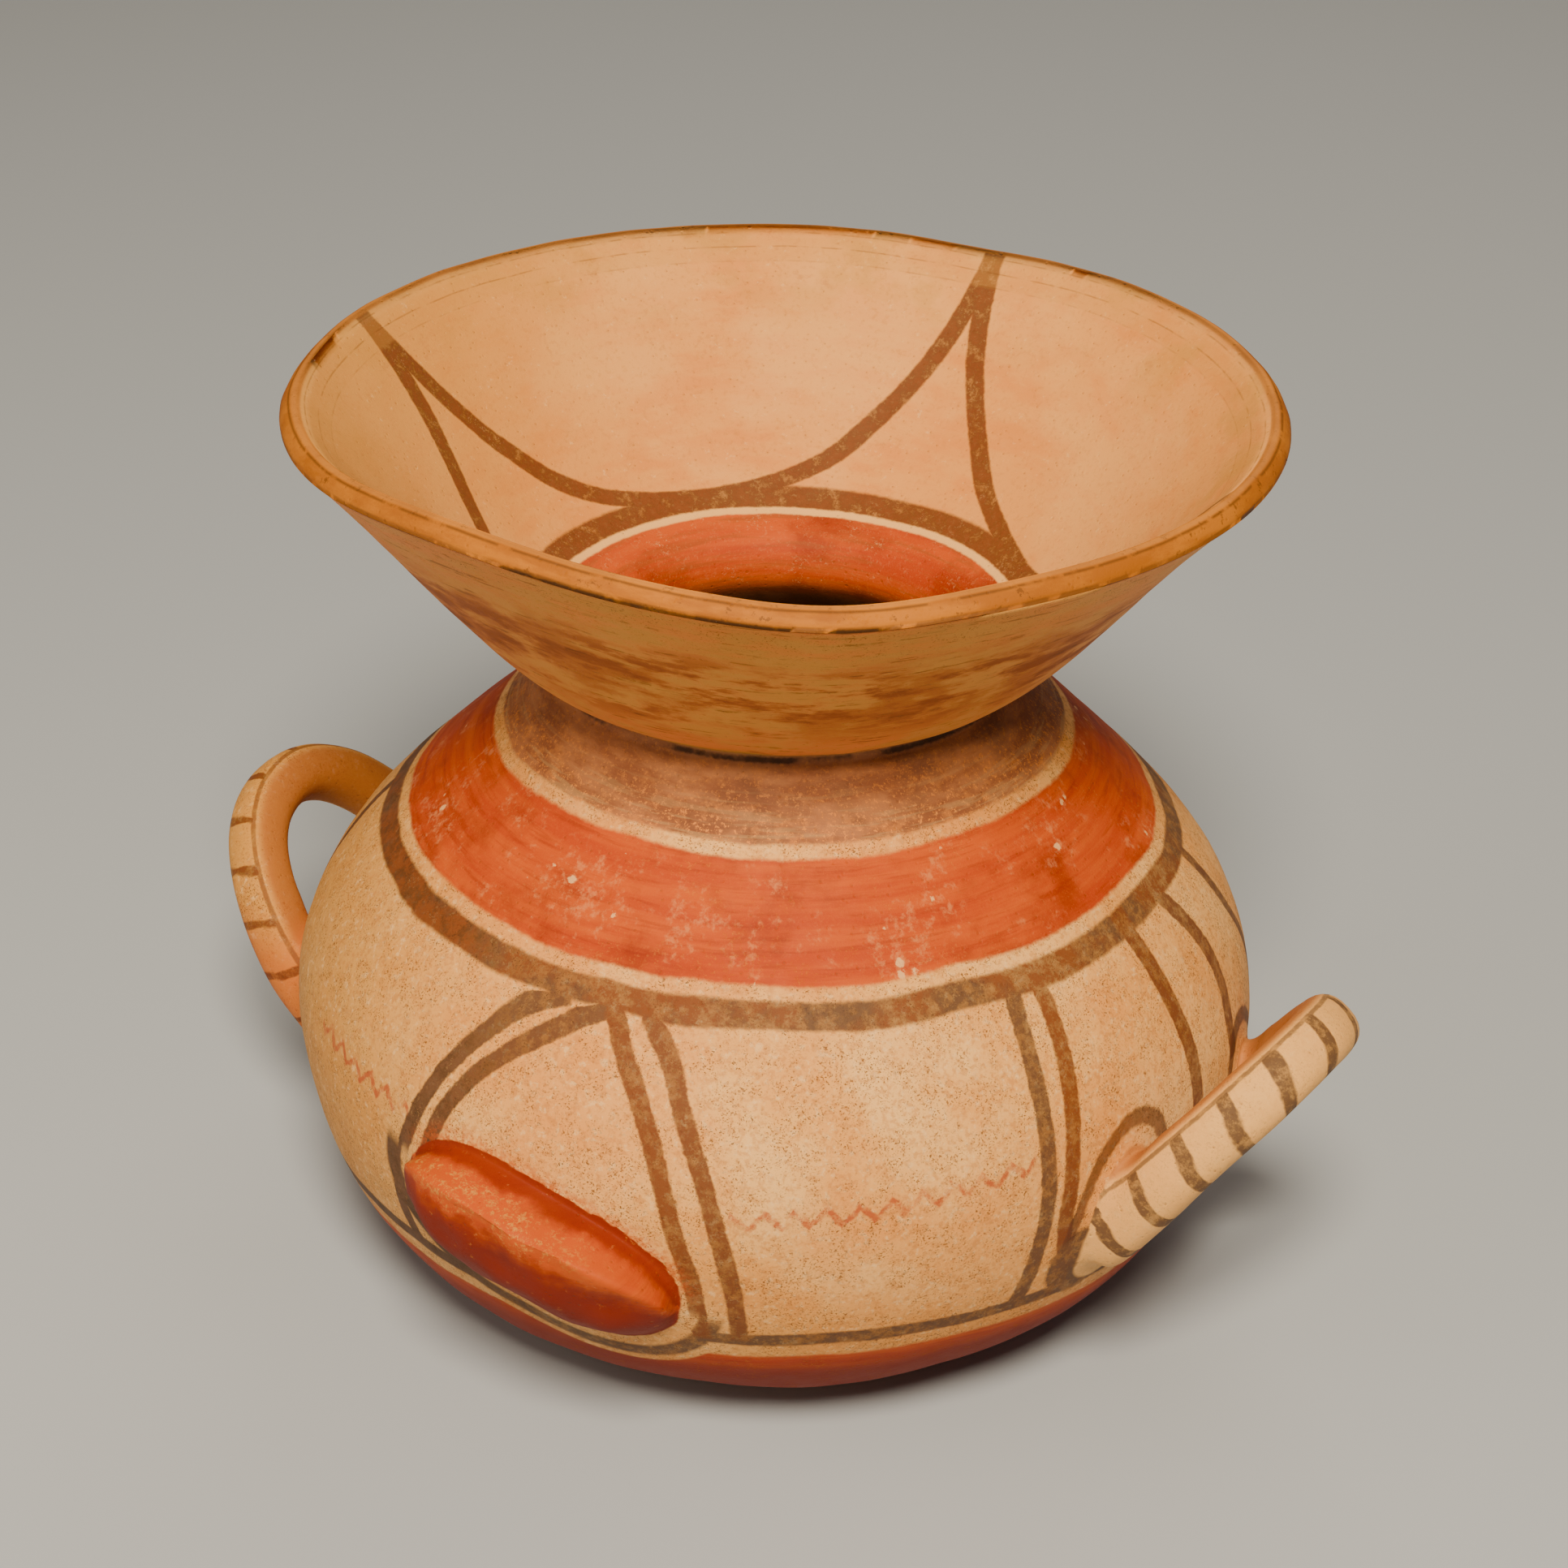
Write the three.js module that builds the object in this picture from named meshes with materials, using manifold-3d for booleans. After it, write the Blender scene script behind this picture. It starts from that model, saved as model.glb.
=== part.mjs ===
// A two-handled painted pot: round body, pinched throat, wide flared mouth,
// two upturned loop handles and two ledge lugs, all fired as one piece of clay.
// Millimetres, +Z up, the table under the foot at z = 0, the handles towards +X and -X.

import * as THREE from 'three';
import { mergeVertices } from 'three/addons/utils/BufferGeometryUtils.js';
import Module from 'manifold-3d';

const wasm = await Module();
wasm.setup();

// Body, measured on the outside
const footRadius = 44;
const bellyRadius = 100.5;
const bellyHeight = 60.2;
const throatRadius = 46.3;
const throatHeight = 136.5;

// Flared mouth: the outer lower edge of the lip
const rimRadius = 97.8;
const rimHeight = 189.7;

// Clay thickness: the shares say where along the underside and the shoulder it changes
const wall = 6;
const floorWall = 7;
const throatWall = 8.5;
const lipWall = 5;
const lipRounding = 1;
const floorThinsOver = 0.6;
const throatThickensFrom = 0.5;

// Form of the outline: each fullness is a share of the rise or run that its curve covers
const undersideFullness = 0.38;
const undersideFlatness = 0.78;
const bellyFullness = 0.41;
const shoulderFullness = 0.42;
const shoulderSlope = 50;
const bowlFullness = 0.33;
const bowlSlope = 24;
const flareFullness = 0.46;
const flareSlope = 46;

// Loop handles: a strap with rounded edges that rises outward from two roots on one level
const handleThickness = 12.6;
const handleWidth = 13.2;
const handleSquareness = 2.5;
const loopSquareness = 2.1;
const rootSwelling = 0.15;
const rootSwellingReach = 9;
const rootDepth = 20;
const handles = [
  { azimuth: -5, rootHeight: 48, halfSpread: 28, reach: 45, rise: 54, skew: -3 },
  { azimuth: -177, rootHeight: 47, halfSpread: 28, reach: 39, rise: 48.5, skew: -5 },
];

// Ledge lugs: a thick lip of clay with a crest near its upper edge and a hollow above the crest
const lugHalfLength = 30.5;
const lugHalfHeight = 15;
const lugReach = 11.5;
const lugCrestRise = 0.82;
const lugCrestFullness = 0.8;
const lugFullness = 0.65;
const lugHollowing = 1.5;
const lugCrestRounding = 0.5;
const lugTilt = 16;
const lugs = [
  { azimuth: -91, height: 51 },
  { azimuth: 89, height: 51 },
];

// Unevenness of the hand-built wall: where the body swells or sinks, how far and how widely
const bodyWaves = [
  { azimuth: -165, height: 117, swell: -2, spread: 40, tall: 20 },
];

// Unevenness of the mouth: where the lip rises or dips, how far and how widely
const lipWaves = [
  { azimuth: -102, rise: 4, spread: 16 },
  { azimuth: -58, rise: -1.8, spread: 10 },
  { azimuth: 89, rise: -1.2, spread: 10 },
];

// Heights, as shares of the mouth's own, between which the body's and the mouth's unevenness fades
const bodyWavesFade = [-0.2, 0];
const lipWavesFade = [0.1, 1];

// Fineness of the faceted surfaces
const turnSegments = 72;
const curveSegments = 7;
const innerSegments = 6;
const arcSegments = 4;
const searchSteps = 40;
const handleSides = 12;
const handleSteps = 26;
const lugRings = 5;
const lugSides = 24;

const degrees = Math.PI / 180;
const mix = (a, b, share) => a + (b - a) * share;
const at = (radius, height) => new THREE.Vector2(radius, height);

// Outline curves, from the foot up to the lip, with the outside on their right
function outlineCurves() {
  const foot = at(footRadius, 0);
  const belly = at(bellyRadius, bellyHeight);
  const throat = at(throatRadius, throatHeight);
  const rim = at(rimRadius, rimHeight);
  const shoulderRun = shoulderFullness * (bellyRadius - throatRadius);
  const bowlRun = bowlFullness * (rimRadius - throatRadius);
  const flareRun = flareFullness * (rimRadius - throatRadius);
  return {
    underside: new THREE.CubicBezierCurve(
      foot,
      at(mix(footRadius, bellyRadius, undersideFlatness), 0),
      at(bellyRadius, mix(bellyHeight, 0, undersideFullness)),
      belly,
    ),
    shoulder: new THREE.CubicBezierCurve(
      belly,
      at(bellyRadius, mix(bellyHeight, throatHeight, bellyFullness)),
      at(throatRadius + shoulderRun, throatHeight - shoulderRun * Math.tan(shoulderSlope * degrees)),
      throat,
    ),
    flare: new THREE.CubicBezierCurve(
      throat,
      at(throatRadius + bowlRun, throatHeight + bowlRun * Math.tan(bowlSlope * degrees)),
      at(rimRadius - flareRun, rimHeight - flareRun * Math.tan(flareSlope * degrees)),
      rim,
    ),
  };
}

const { underside, shoulder, flare } = outlineCurves();

// Outward normal of an outline curve at a share t of its length
function outward(curve, t) {
  const tangent = curve.getTangent(t);
  return at(tangent.y, -tangent.x);
}

// Points of the inner face: the outer curve moved in by a thickness that changes along it
function innerPoints(curve, thicknessAt) {
  const points = [];
  for (let i = 0; i <= innerSegments; i += 1) {
    const t = i / innerSegments;
    points.push(curve.getPoint(t).addScaledVector(outward(curve, t), -thicknessAt(t)));
  }
  return points;
}

// Rounded collar inside the throat, about the groove outside
function throatArc() {
  const from = outward(shoulder, 1).negate().angle();
  const to = outward(flare, 0).negate().angle();
  const points = [];
  for (let i = 1; i < arcSegments; i += 1) {
    const turn = mix(from, to, i / arcSegments);
    points.push(at(throatRadius + throatWall * Math.cos(turn), throatHeight + throatWall * Math.sin(turn)));
  }
  return points;
}

// A smooth hump, 1 in its middle, that fades over a spread
const hump = (away, spread) => Math.exp(-0.5 * (away / spread) ** 2);

// The shorter way round from one azimuth to another, in degrees
const turnBetween = (from, to) => THREE.MathUtils.euclideanModulo(to - from + 180, 360) - 180;

// Swelling of the body at an azimuth in degrees and a height
function bodySwell(azimuth, height) {
  return bodyWaves.reduce((sum, wave) => (
    sum + wave.swell * hump(turnBetween(wave.azimuth, azimuth), wave.spread)
      * hump(height - wave.height, wave.tall)
  ), 0);
}

// Rise of the lip at an azimuth in degrees
function lipRise(azimuth) {
  return lipWaves.reduce((sum, wave) => (
    sum + wave.rise * hump(turnBetween(wave.azimuth, azimuth), wave.spread)
  ), 0);
}

// The wall leaves the true round: the body below the throat, and the mouth above it, the more
// so the nearer to the lip
function makeUneven(geometry) {
  const position = geometry.attributes.position;
  for (let i = 0; i < position.count; i += 1) {
    const place = new THREE.Vector3().fromBufferAttribute(position, i);
    const azimuth = Math.atan2(place.y, place.x) / degrees;
    const radius = Math.hypot(place.x, place.y);
    const share = (place.z - throatHeight) / (rimHeight - throatHeight);
    const ofBody = THREE.MathUtils.smoothstep(radius, 0, footRadius)
      * (1 - THREE.MathUtils.smoothstep(share, ...bodyWavesFade));
    const ofMouth = THREE.MathUtils.smoothstep(share, ...lipWavesFade);
    const grown = radius > 0 ? 1 + ofBody * bodySwell(azimuth, place.z) / radius : 1;
    position.setXYZ(i, place.x * grown, place.y * grown, place.z + ofMouth * lipRise(azimuth));
  }
  return geometry;
}

// A closed solid in manifold-3d from a closed three.js geometry
function toSolid(geometry) {
  geometry.deleteAttribute('normal');
  geometry.deleteAttribute('uv');
  const merged = mergeVertices(geometry);
  return new wasm.Manifold(new wasm.Mesh({
    numProp: 3,
    vertProperties: new Float32Array(merged.attributes.position.array),
    triVerts: new Uint32Array(merged.index.array),
  }));
}

// A three.js geometry from a solid
function toGeometry(solid) {
  const mesh = solid.getMesh();
  const geometry = new THREE.BufferGeometry();
  geometry.setAttribute('position', new THREE.BufferAttribute(new Float32Array(mesh.vertProperties), 3));
  geometry.setIndex(new THREE.BufferAttribute(new Uint32Array(mesh.triVerts), 1));
  geometry.computeVertexNormals();
  return geometry;
}

// An outline turned about the upright axis
function turned(points) {
  const geometry = new THREE.LatheGeometry(points, turnSegments);
  geometry.rotateX(Math.PI / 2);
  return toSolid(makeUneven(geometry));
}

// The clay with no hollow in it, closed over at the lip
function fullBody() {
  const lipEdge = (depth, stand) => flare.getPoint(1)
    .addScaledVector(outward(flare, 1), -depth)
    .addScaledVector(flare.getTangent(1), stand);
  const points = [
    at(0, 0),
    ...underside.getPoints(curveSegments),
    ...shoulder.getPoints(curveSegments).slice(1),
    ...flare.getPoints(curveSegments).slice(1),
    lipEdge(lipRounding, lipRounding),
    lipEdge(2 * lipWall, lipRounding),
  ];
  points.push(at(0, points.at(-1).y));
  return turned(points);
}

// The space inside, run on past the lip
function hollow() {
  const undersideWall = (t) => mix(floorWall, wall, THREE.MathUtils.smoothstep(t, 0, floorThinsOver));
  const shoulderWall = (t) => mix(wall, throatWall, THREE.MathUtils.smoothstep(t, throatThickensFrom, 1));
  const flareWall = (t) => mix(throatWall, lipWall, t);
  const points = [
    at(0, floorWall),
    ...innerPoints(underside, undersideWall),
    ...innerPoints(shoulder, shoulderWall).slice(1),
    ...throatArc(),
    ...innerPoints(flare, flareWall),
  ];
  const above = points.at(-1).clone().addScaledVector(flare.getTangent(1), 2 * lipWall);
  points.push(above, at(0, above.y));
  return turned(points);
}

// Outer radius of the body at a height below the throat
function bodyRadius(height) {
  const curve = height < bellyHeight ? underside : shoulder;
  let low = 0;
  let high = 1;
  for (let i = 0; i < searchSteps; i += 1) {
    const middle = (low + high) / 2;
    if (curve.getPoint(middle).y < height) low = middle;
    else high = middle;
  }
  return curve.getPoint(low).x;
}

// A signed power, for rounded squares
const rounded = (value, power) => Math.sign(value) * Math.abs(value) ** power;

// One handle: rings of a rounded strap along an upturned loop, closed at both buried ends
function handleSolid({ azimuth, rootHeight, halfSpread, reach, rise, skew }) {
  const turn = azimuth * degrees;
  const out = new THREE.Vector3(Math.cos(turn), Math.sin(turn), 0);
  const up = new THREE.Vector3(0, 0, 1);
  const across = new THREE.Vector3(-Math.sin(turn), Math.cos(turn), 0)
    .multiplyScalar(Math.cos(skew * degrees))
    .addScaledVector(up, Math.sin(skew * degrees));
  const outUp = out.clone().multiplyScalar(Math.cos(rise * degrees))
    .addScaledVector(up, Math.sin(rise * degrees));
  const planeNormal = new THREE.Vector3().crossVectors(across, outUp).normalize();
  const rootRadius = bodyRadius(rootHeight);
  const foot = out.clone().multiplyScalar(Math.sqrt(rootRadius ** 2 - halfSpread ** 2))
    .addScaledVector(up, rootHeight);
  const centre = (share) => {
    const angle = share * Math.PI;
    return foot.clone()
      .addScaledVector(across, halfSpread * rounded(Math.cos(angle), 2 / loopSquareness))
      .addScaledVector(outUp, reach * rounded(Math.sin(angle), 2 / loopSquareness));
  };
  const stations = [];
  for (let i = 0; i <= handleSteps; i += 1) {
    stations.push(centre(i / handleSteps));
  }
  stations.unshift(stations[0].clone().addScaledVector(outUp, -rootDepth));
  stations.push(stations.at(-1).clone().addScaledVector(outUp, -rootDepth));
  const vertices = [];
  const faces = [];
  stations.forEach((station, i) => {
    const ahead = stations[Math.min(i + 1, stations.length - 1)];
    const behind = stations[Math.max(i - 1, 0)];
    const tangent = new THREE.Vector3().subVectors(ahead, behind).normalize();
    const side = new THREE.Vector3().crossVectors(planeNormal, tangent).normalize();
    const fromWall = Math.max(0, Math.hypot(station.x, station.y) - bodyRadius(station.z));
    const swelling = 1 + rootSwelling * Math.exp(-((fromWall / rootSwellingReach) ** 2));
    for (let k = 0; k < handleSides; k += 1) {
      const angle = (k / handleSides) * 2 * Math.PI;
      const depth = handleThickness / 2 * swelling * rounded(Math.cos(angle), 2 / handleSquareness);
      const width = handleWidth / 2 * swelling * rounded(Math.sin(angle), 2 / handleSquareness);
      const p = station.clone().addScaledVector(side, depth).addScaledVector(planeNormal, width);
      vertices.push(p.x, p.y, p.z);
    }
  });
  for (let i = 0; i + 1 < stations.length; i += 1) {
    for (let k = 0; k < handleSides; k += 1) {
      const next = (k + 1) % handleSides;
      const a = i * handleSides + k;
      const b = i * handleSides + next;
      faces.push(a, b, b + handleSides, a, b + handleSides, a + handleSides);
    }
  }
  const last = (stations.length - 1) * handleSides;
  for (let k = 1; k + 1 < handleSides; k += 1) {
    faces.push(0, k + 1, k, last, last + k, last + k + 1);
  }
  return closedSolid(vertices, faces);
}

// A solid from plain lists of vertices and faces
function closedSolid(vertices, faces) {
  const geometry = new THREE.BufferGeometry();
  geometry.setAttribute('position', new THREE.Float32BufferAttribute(vertices, 3));
  geometry.setIndex(faces);
  return toSolid(geometry);
}

// A point of the lug's face, at a share of the way from its middle to its edge: how far along and
// up the wall it lies, and how far off the wall it stands. A crest near the upper edge runs from end
// to end, with a round face below it and a hollow above it
function lugFace(share, angle) {
  const along = share * Math.cos(angle);
  const halfWidth = Math.sqrt(Math.max(Number.EPSILON, 1 - along ** 2));
  const across = THREE.MathUtils.clamp(share * Math.sin(angle) / halfWidth, -1, 1);
  const full = (1 - across ** 2) ** lugFullness;
  const hollowed = (1 - Math.max(0, across)) ** lugHollowing;
  const profile = mix(full, hollowed, THREE.MathUtils.smoothstep(across, 0, lugCrestRounding));
  return {
    along: lugHalfLength * along,
    climb: lugHalfHeight * halfWidth * (across + lugCrestRise * (1 - Math.abs(across))),
    stand: lugReach * halfWidth ** lugCrestFullness * profile,
  };
}

// One lug: a face over a tilted oval on the body, and a back buried in the wall
function lugSolid({ azimuth, height }) {
  const vertices = [];
  const faces = [];
  const tilt = lugTilt * degrees;
  const addPoint = (share, angle, buried) => {
    const { along, climb, stand } = lugFace(share, angle);
    const side = along * Math.cos(tilt) + climb * Math.sin(tilt);
    const z = height + climb * Math.cos(tilt) - along * Math.sin(tilt);
    const radius = bodyRadius(z) + (buried ? -wall / 2 : stand);
    const turn = azimuth * degrees + side / bellyRadius;
    vertices.push(radius * Math.cos(turn), radius * Math.sin(turn), z);
  };
  addPoint(0, 0, false);
  for (let ring = 1; ring <= lugRings; ring += 1) {
    const share = Math.sin(ring / lugRings * Math.PI / 2);
    for (let k = 0; k < lugSides; k += 1) {
      const angle = (k / lugSides) * 2 * Math.PI;
      addPoint(share, angle, ring === lugRings);
    }
  }
  addPoint(0, 0, true);
  const back = vertices.length / 3 - 1;
  const edge = 1 + (lugRings - 1) * lugSides;
  for (let k = 0; k < lugSides; k += 1) {
    const next = (k + 1) % lugSides;
    faces.push(0, 1 + k, 1 + next);
    for (let start = 1; start < edge; start += lugSides) {
      const a = start + k;
      const b = start + next;
      faces.push(a, a + lugSides, b + lugSides, a, b + lugSides, b);
    }
    faces.push(edge + k, back, edge + next);
  }
  return closedSolid(vertices, faces);
}

// The whole pot
function potGeometry() {
  let clay = fullBody();
  handles.forEach((handle) => { clay = clay.add(handleSolid(handle)); });
  lugs.forEach((lug) => { clay = clay.add(lugSolid(lug)); });
  return toGeometry(clay.subtract(hollow()));
}

const firedClay = new THREE.MeshStandardMaterial({ color: 0xc98f5a, roughness: 0.75, metalness: 0 });
const pot = new THREE.Mesh(potGeometry(), firedClay);
pot.name = 'pot';

const model = new THREE.Group();
model.add(pot);

export default model;
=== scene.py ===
"""Looks of a two-handled painted pot: fine surface, slip paint and wear, plain floor and soft light."""

import math

import bmesh
import bpy
import numpy as np
from mathutils import Matrix, Vector, noise


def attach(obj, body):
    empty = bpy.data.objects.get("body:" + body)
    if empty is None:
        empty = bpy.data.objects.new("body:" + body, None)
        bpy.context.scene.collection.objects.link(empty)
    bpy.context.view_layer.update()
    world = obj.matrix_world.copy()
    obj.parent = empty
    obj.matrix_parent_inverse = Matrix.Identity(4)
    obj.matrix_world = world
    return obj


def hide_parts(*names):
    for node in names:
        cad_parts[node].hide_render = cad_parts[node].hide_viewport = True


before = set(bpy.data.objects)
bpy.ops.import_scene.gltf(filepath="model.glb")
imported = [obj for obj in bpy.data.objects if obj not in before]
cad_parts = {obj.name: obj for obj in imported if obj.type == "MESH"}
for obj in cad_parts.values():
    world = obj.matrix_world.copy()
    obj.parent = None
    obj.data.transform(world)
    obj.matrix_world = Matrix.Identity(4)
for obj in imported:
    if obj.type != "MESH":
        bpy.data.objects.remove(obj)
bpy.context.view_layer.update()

# Sizes below are in millimetres unless a comment says otherwise
MM = 0.001

# Camera: place and lens for a square picture of the pot from a little above
CAMERA_PLACE = (275.4, -564.6, 447.5)
CAMERA_RIGHT = (0.89521, 0.44529, 0.01759)
CAMERA_UP = (-0.22687, 0.42141, 0.87804)
CAMERA_LENS = 79.43
SENSOR = 36.0
CAMERA_CLIP_M = (0.01, 20)

# Outer form of the body
FOOT_RADIUS = 44
BELLY_RADIUS = 100.5
BELLY_HEIGHT = 60.2
THROAT_RADIUS = 46.3
THROAT_HEIGHT = 136.5
RIM_RADIUS = 97.8
RIM_HEIGHT = 189.7
WALL = 6
FLOOR_WALL = 7
THROAT_WALL = 8.5
LIP_WALL = 5

# The lip's rounded end: how far it stands out, where its curve starts in radians, and its fullness
LIP_STAND = 1.5
LIP_INSET = 0.5
LIP_START = 0.12
LIP_FULLNESS = 0.6

# Form of the outline: each fullness is a share of the rise or run that its curve covers
UNDERSIDE_FULLNESS = 0.38
UNDERSIDE_FLATNESS = 0.78
BELLY_FULLNESS = 0.41
SHOULDER_FULLNESS = 0.42
SHOULDER_SLOPE = math.radians(50)
BOWL_FULLNESS = 0.33
BOWL_SLOPE = math.radians(24)
FLARE_FULLNESS = 0.46
FLARE_SLOPE = math.radians(46)

# Loop handles
HANDLE_THICKNESS = 12.6
HANDLE_WIDTH = 13.2
HANDLE_SQUARENESS = 2.5
LOOP_SQUARENESS = 2.1
ROOT_SWELLING = 0.15
ROOT_SWELLING_REACH = 9
ROOT_DEPTH = 7
HANDLES = (
    dict(azimuth=-5, root_height=48, half_spread=28, reach=45, rise=54, skew=-3),
    dict(azimuth=-177, root_height=47, half_spread=28, reach=39, rise=48.5, skew=-5),
)

# Ledge lugs
LUG_HALF_LENGTH = 30.5
LUG_HALF_HEIGHT = 15
LUG_REACH = 11.5
LUG_CREST_RISE = 0.82
LUG_CREST_FULLNESS = 0.8
LUG_FULLNESS = 0.65
LUG_HOLLOWING = 1.5
LUG_BLUNTNESS = 2.8
LUG_CREST_ROUNDING = 0.5
LUG_TILT = math.radians(16)
LUG_HEIGHT = 51
LUG_AZIMUTHS = (-91, 89)

# Unevenness of the body: azimuth in degrees, height, swelling, and its spread in degrees and in height.
# Unevenness of the mouth: azimuth, rise, and its spread in degrees.
BODY_WAVES = ((-165, 117, -2, 40, 20),)
LIP_WAVES = ((-102, 4, 16), (-58, -1.8, 10), (89, -1.2, 10))

# Fineness of the mesh
TURN_STEPS = 288
OUTER_STEP = 2.1
HIDDEN_STEP = 7
CURVE_STEPS = 7
HANDLE_SIDES = 28
HANDLE_STEPS = 110
LUG_RINGS = 20
LUG_SIDES = 84
LINE_STEPS = 160
MERGE_DISTANCE = 0.02

# Softening of the corners: rounds, share of each round, and reach from a handle, a lug and the wall
SOFTENING_ROUNDS = 12
SOFTENING_SHARE = 0.6
HANDLE_CORNER = (1.5, 5)
LUG_CORNER = (1, 4)
WALL_CORNER = (2, 6)

# Low relief: wave lengths and depths, and how far the outside is pressed in to keep the pot's size
SWELL_LENGTH = 34
SWELL_DEPTH = 0.45
DENT_LENGTH = 9
DENT_DEPTH = 0.16
LUG_DENT_DEPTH = 1.1
LUG_PRESS = 0.4
OUTSIDE_PRESS = 0.2

# Facts that each point of the surface carries for the paint
FACTS = ("level", "inside", "from_lip", "across_lip", "lug", "lug_climb", "lug_across", "lug_run", "handle",
         "handle_run", "handle_outward", "handle_rise")

# How many points are measured at once, which keeps the memory low
BATCH = 4000


def smoothstep(value, low, high):
    t = np.clip((value - low) / (high - low), 0, 1)
    return t * t * (3 - 2 * t)


def hump(away, spread):
    return np.exp(-0.5 * (away / spread) ** 2)


def turn_between(start, end):
    return (end - start + 180) % 360 - 180


def unit(vectors):
    return vectors / np.linalg.norm(vectors, axis=1)[:, None]


def run_along(line):
    return np.r_[0, np.cumsum(np.linalg.norm(np.diff(line, axis=0), axis=1))]


def bezier(a, b, c, d, t):
    """Points of a cubic curve at the shares t, and its unit tangents."""
    a, b, c, d = (np.array(p, float) for p in (a, b, c, d))
    t = np.asarray(t, float)[:, None]
    points = a * (1 - t) ** 3 + 3 * b * t * (1 - t) ** 2 + 3 * c * t * t * (1 - t) + d * t ** 3
    tangents = (b - a) * (1 - t) ** 2 + 2 * (c - b) * t * (1 - t) + (d - c) * t * t
    return points, unit(tangents)


def outline_curves():
    """Underside, shoulder and flare as the corner points of cubic curves."""
    foot, belly = (FOOT_RADIUS, 0), (BELLY_RADIUS, BELLY_HEIGHT)
    throat, rim = (THROAT_RADIUS, THROAT_HEIGHT), (RIM_RADIUS, RIM_HEIGHT)
    shoulder_run = SHOULDER_FULLNESS * (BELLY_RADIUS - THROAT_RADIUS)
    bowl_run = BOWL_FULLNESS * (RIM_RADIUS - THROAT_RADIUS)
    flare_run = FLARE_FULLNESS * (RIM_RADIUS - THROAT_RADIUS)
    flat_run = FOOT_RADIUS + UNDERSIDE_FLATNESS * (BELLY_RADIUS - FOOT_RADIUS)
    underside = (foot, (flat_run, 0), (BELLY_RADIUS, BELLY_HEIGHT * (1 - UNDERSIDE_FULLNESS)), belly)
    shoulder = (
        belly,
        (BELLY_RADIUS, BELLY_HEIGHT + BELLY_FULLNESS * (THROAT_HEIGHT - BELLY_HEIGHT)),
        (THROAT_RADIUS + shoulder_run, THROAT_HEIGHT - shoulder_run * math.tan(SHOULDER_SLOPE)),
        throat,
    )
    flare = (
        throat,
        (THROAT_RADIUS + bowl_run, THROAT_HEIGHT + bowl_run * math.tan(BOWL_SLOPE)),
        (RIM_RADIUS - flare_run, RIM_HEIGHT - flare_run * math.tan(FLARE_SLOPE)),
        rim,
    )
    return underside, shoulder, flare


UNDERSIDE, SHOULDER, FLARE = outline_curves()


def shares(curve, step):
    """Even shares of a curve, about a step apart."""
    points, _ = bezier(*curve, np.linspace(0, 1, 60))
    return np.linspace(0, 1, max(3, round(run_along(points)[-1] / step)) + 1)


def inner(curve, step, thickness_at):
    """The inner face beside an outer curve."""
    t = shares(curve, step)
    points, tangents = bezier(*curve, t)
    normals = np.c_[tangents[:, 1], -tangents[:, 0]]
    return points - normals * thickness_at(t)[:, None]


def outer_profile(step):
    """The outside from the foot's centre up to the lip's outer edge."""
    foot = np.arange(0, FOOT_RADIUS, 2 * step)
    curves = (UNDERSIDE, SHOULDER, FLARE)
    underside, shoulder, flare = (bezier(*curve, shares(curve, step))[0] for curve in curves)
    return np.vstack([np.c_[foot, np.zeros(len(foot))], underside, shoulder[1:], flare[1:]])


def lip_profile():
    """The lip's rounded end, from the outer edge to the inner one."""
    end, tangent = bezier(*FLARE, [1.0])
    along, across = tangent[0], np.array([-tangent[0][1], tangent[0][0]])
    turns = np.linspace(LIP_START, math.pi - LIP_START, CURVE_STEPS)
    stand = LIP_STAND * np.sin(turns) ** LIP_FULLNESS
    depth = LIP_WALL * (0.5 - 0.5 * np.cos(turns))
    return end[0] + along * (stand[:, None] - LIP_INSET) + across * depth[:, None]


def shoulder_wall(share):
    return WALL + (THROAT_WALL - WALL) * smoothstep(share, 0.5, 1)


def underside_wall(share):
    return FLOOR_WALL + (WALL - FLOOR_WALL) * smoothstep(share, 0, 0.6)


def flare_wall(share):
    return THROAT_WALL + (LIP_WALL - THROAT_WALL) * share


def inner_profile(step):
    """The inside from the lip's inner edge down to the floor's centre."""
    flare = inner(FLARE, step, flare_wall)
    shoulder = inner(SHOULDER, HIDDEN_STEP, shoulder_wall)
    underside = inner(UNDERSIDE, HIDDEN_STEP, underside_wall)
    throat = np.array([THROAT_RADIUS, THROAT_HEIGHT])
    start = math.atan2(*(flare[0] - throat)[::-1])
    end = math.atan2(*(shoulder[-1] - throat)[::-1])
    turns = np.linspace(start, end % (2 * math.pi) if start > 0 else end, CURVE_STEPS)[1:-1]
    collar = throat + THROAT_WALL * np.c_[np.cos(turns), np.sin(turns)]
    floor = np.arange(0, underside[0][0], 2 * HIDDEN_STEP)
    floor = np.c_[floor, np.full(len(floor), FLOOR_WALL)]
    return np.vstack([flare[::-1], collar, shoulder[::-1], underside[::-1][1:], floor[::-1]])


OUTER = outer_profile(OUTER_STEP)
LIP = lip_profile()
INNER = inner_profile(OUTER_STEP)


def body_radius(height):
    """Outer radius of the body at heights below the throat."""
    throat = np.argmin(np.abs(OUTER[:, 1] - THROAT_HEIGHT) + np.abs(OUTER[:, 0] - THROAT_RADIUS))
    below = OUTER[: throat + 1]
    return np.interp(height, below[:, 1], below[:, 0])


def mouth_rise(azimuth, height):
    """How far the uneven mouth lifts a point above its place in the true round."""
    share = (height - THROAT_HEIGHT) / (RIM_HEIGHT - THROAT_HEIGHT)
    return smoothstep(share, 0.1, 1) * sum(r * hump(turn_between(a, azimuth), w) for a, r, w in LIP_WAVES)


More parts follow.
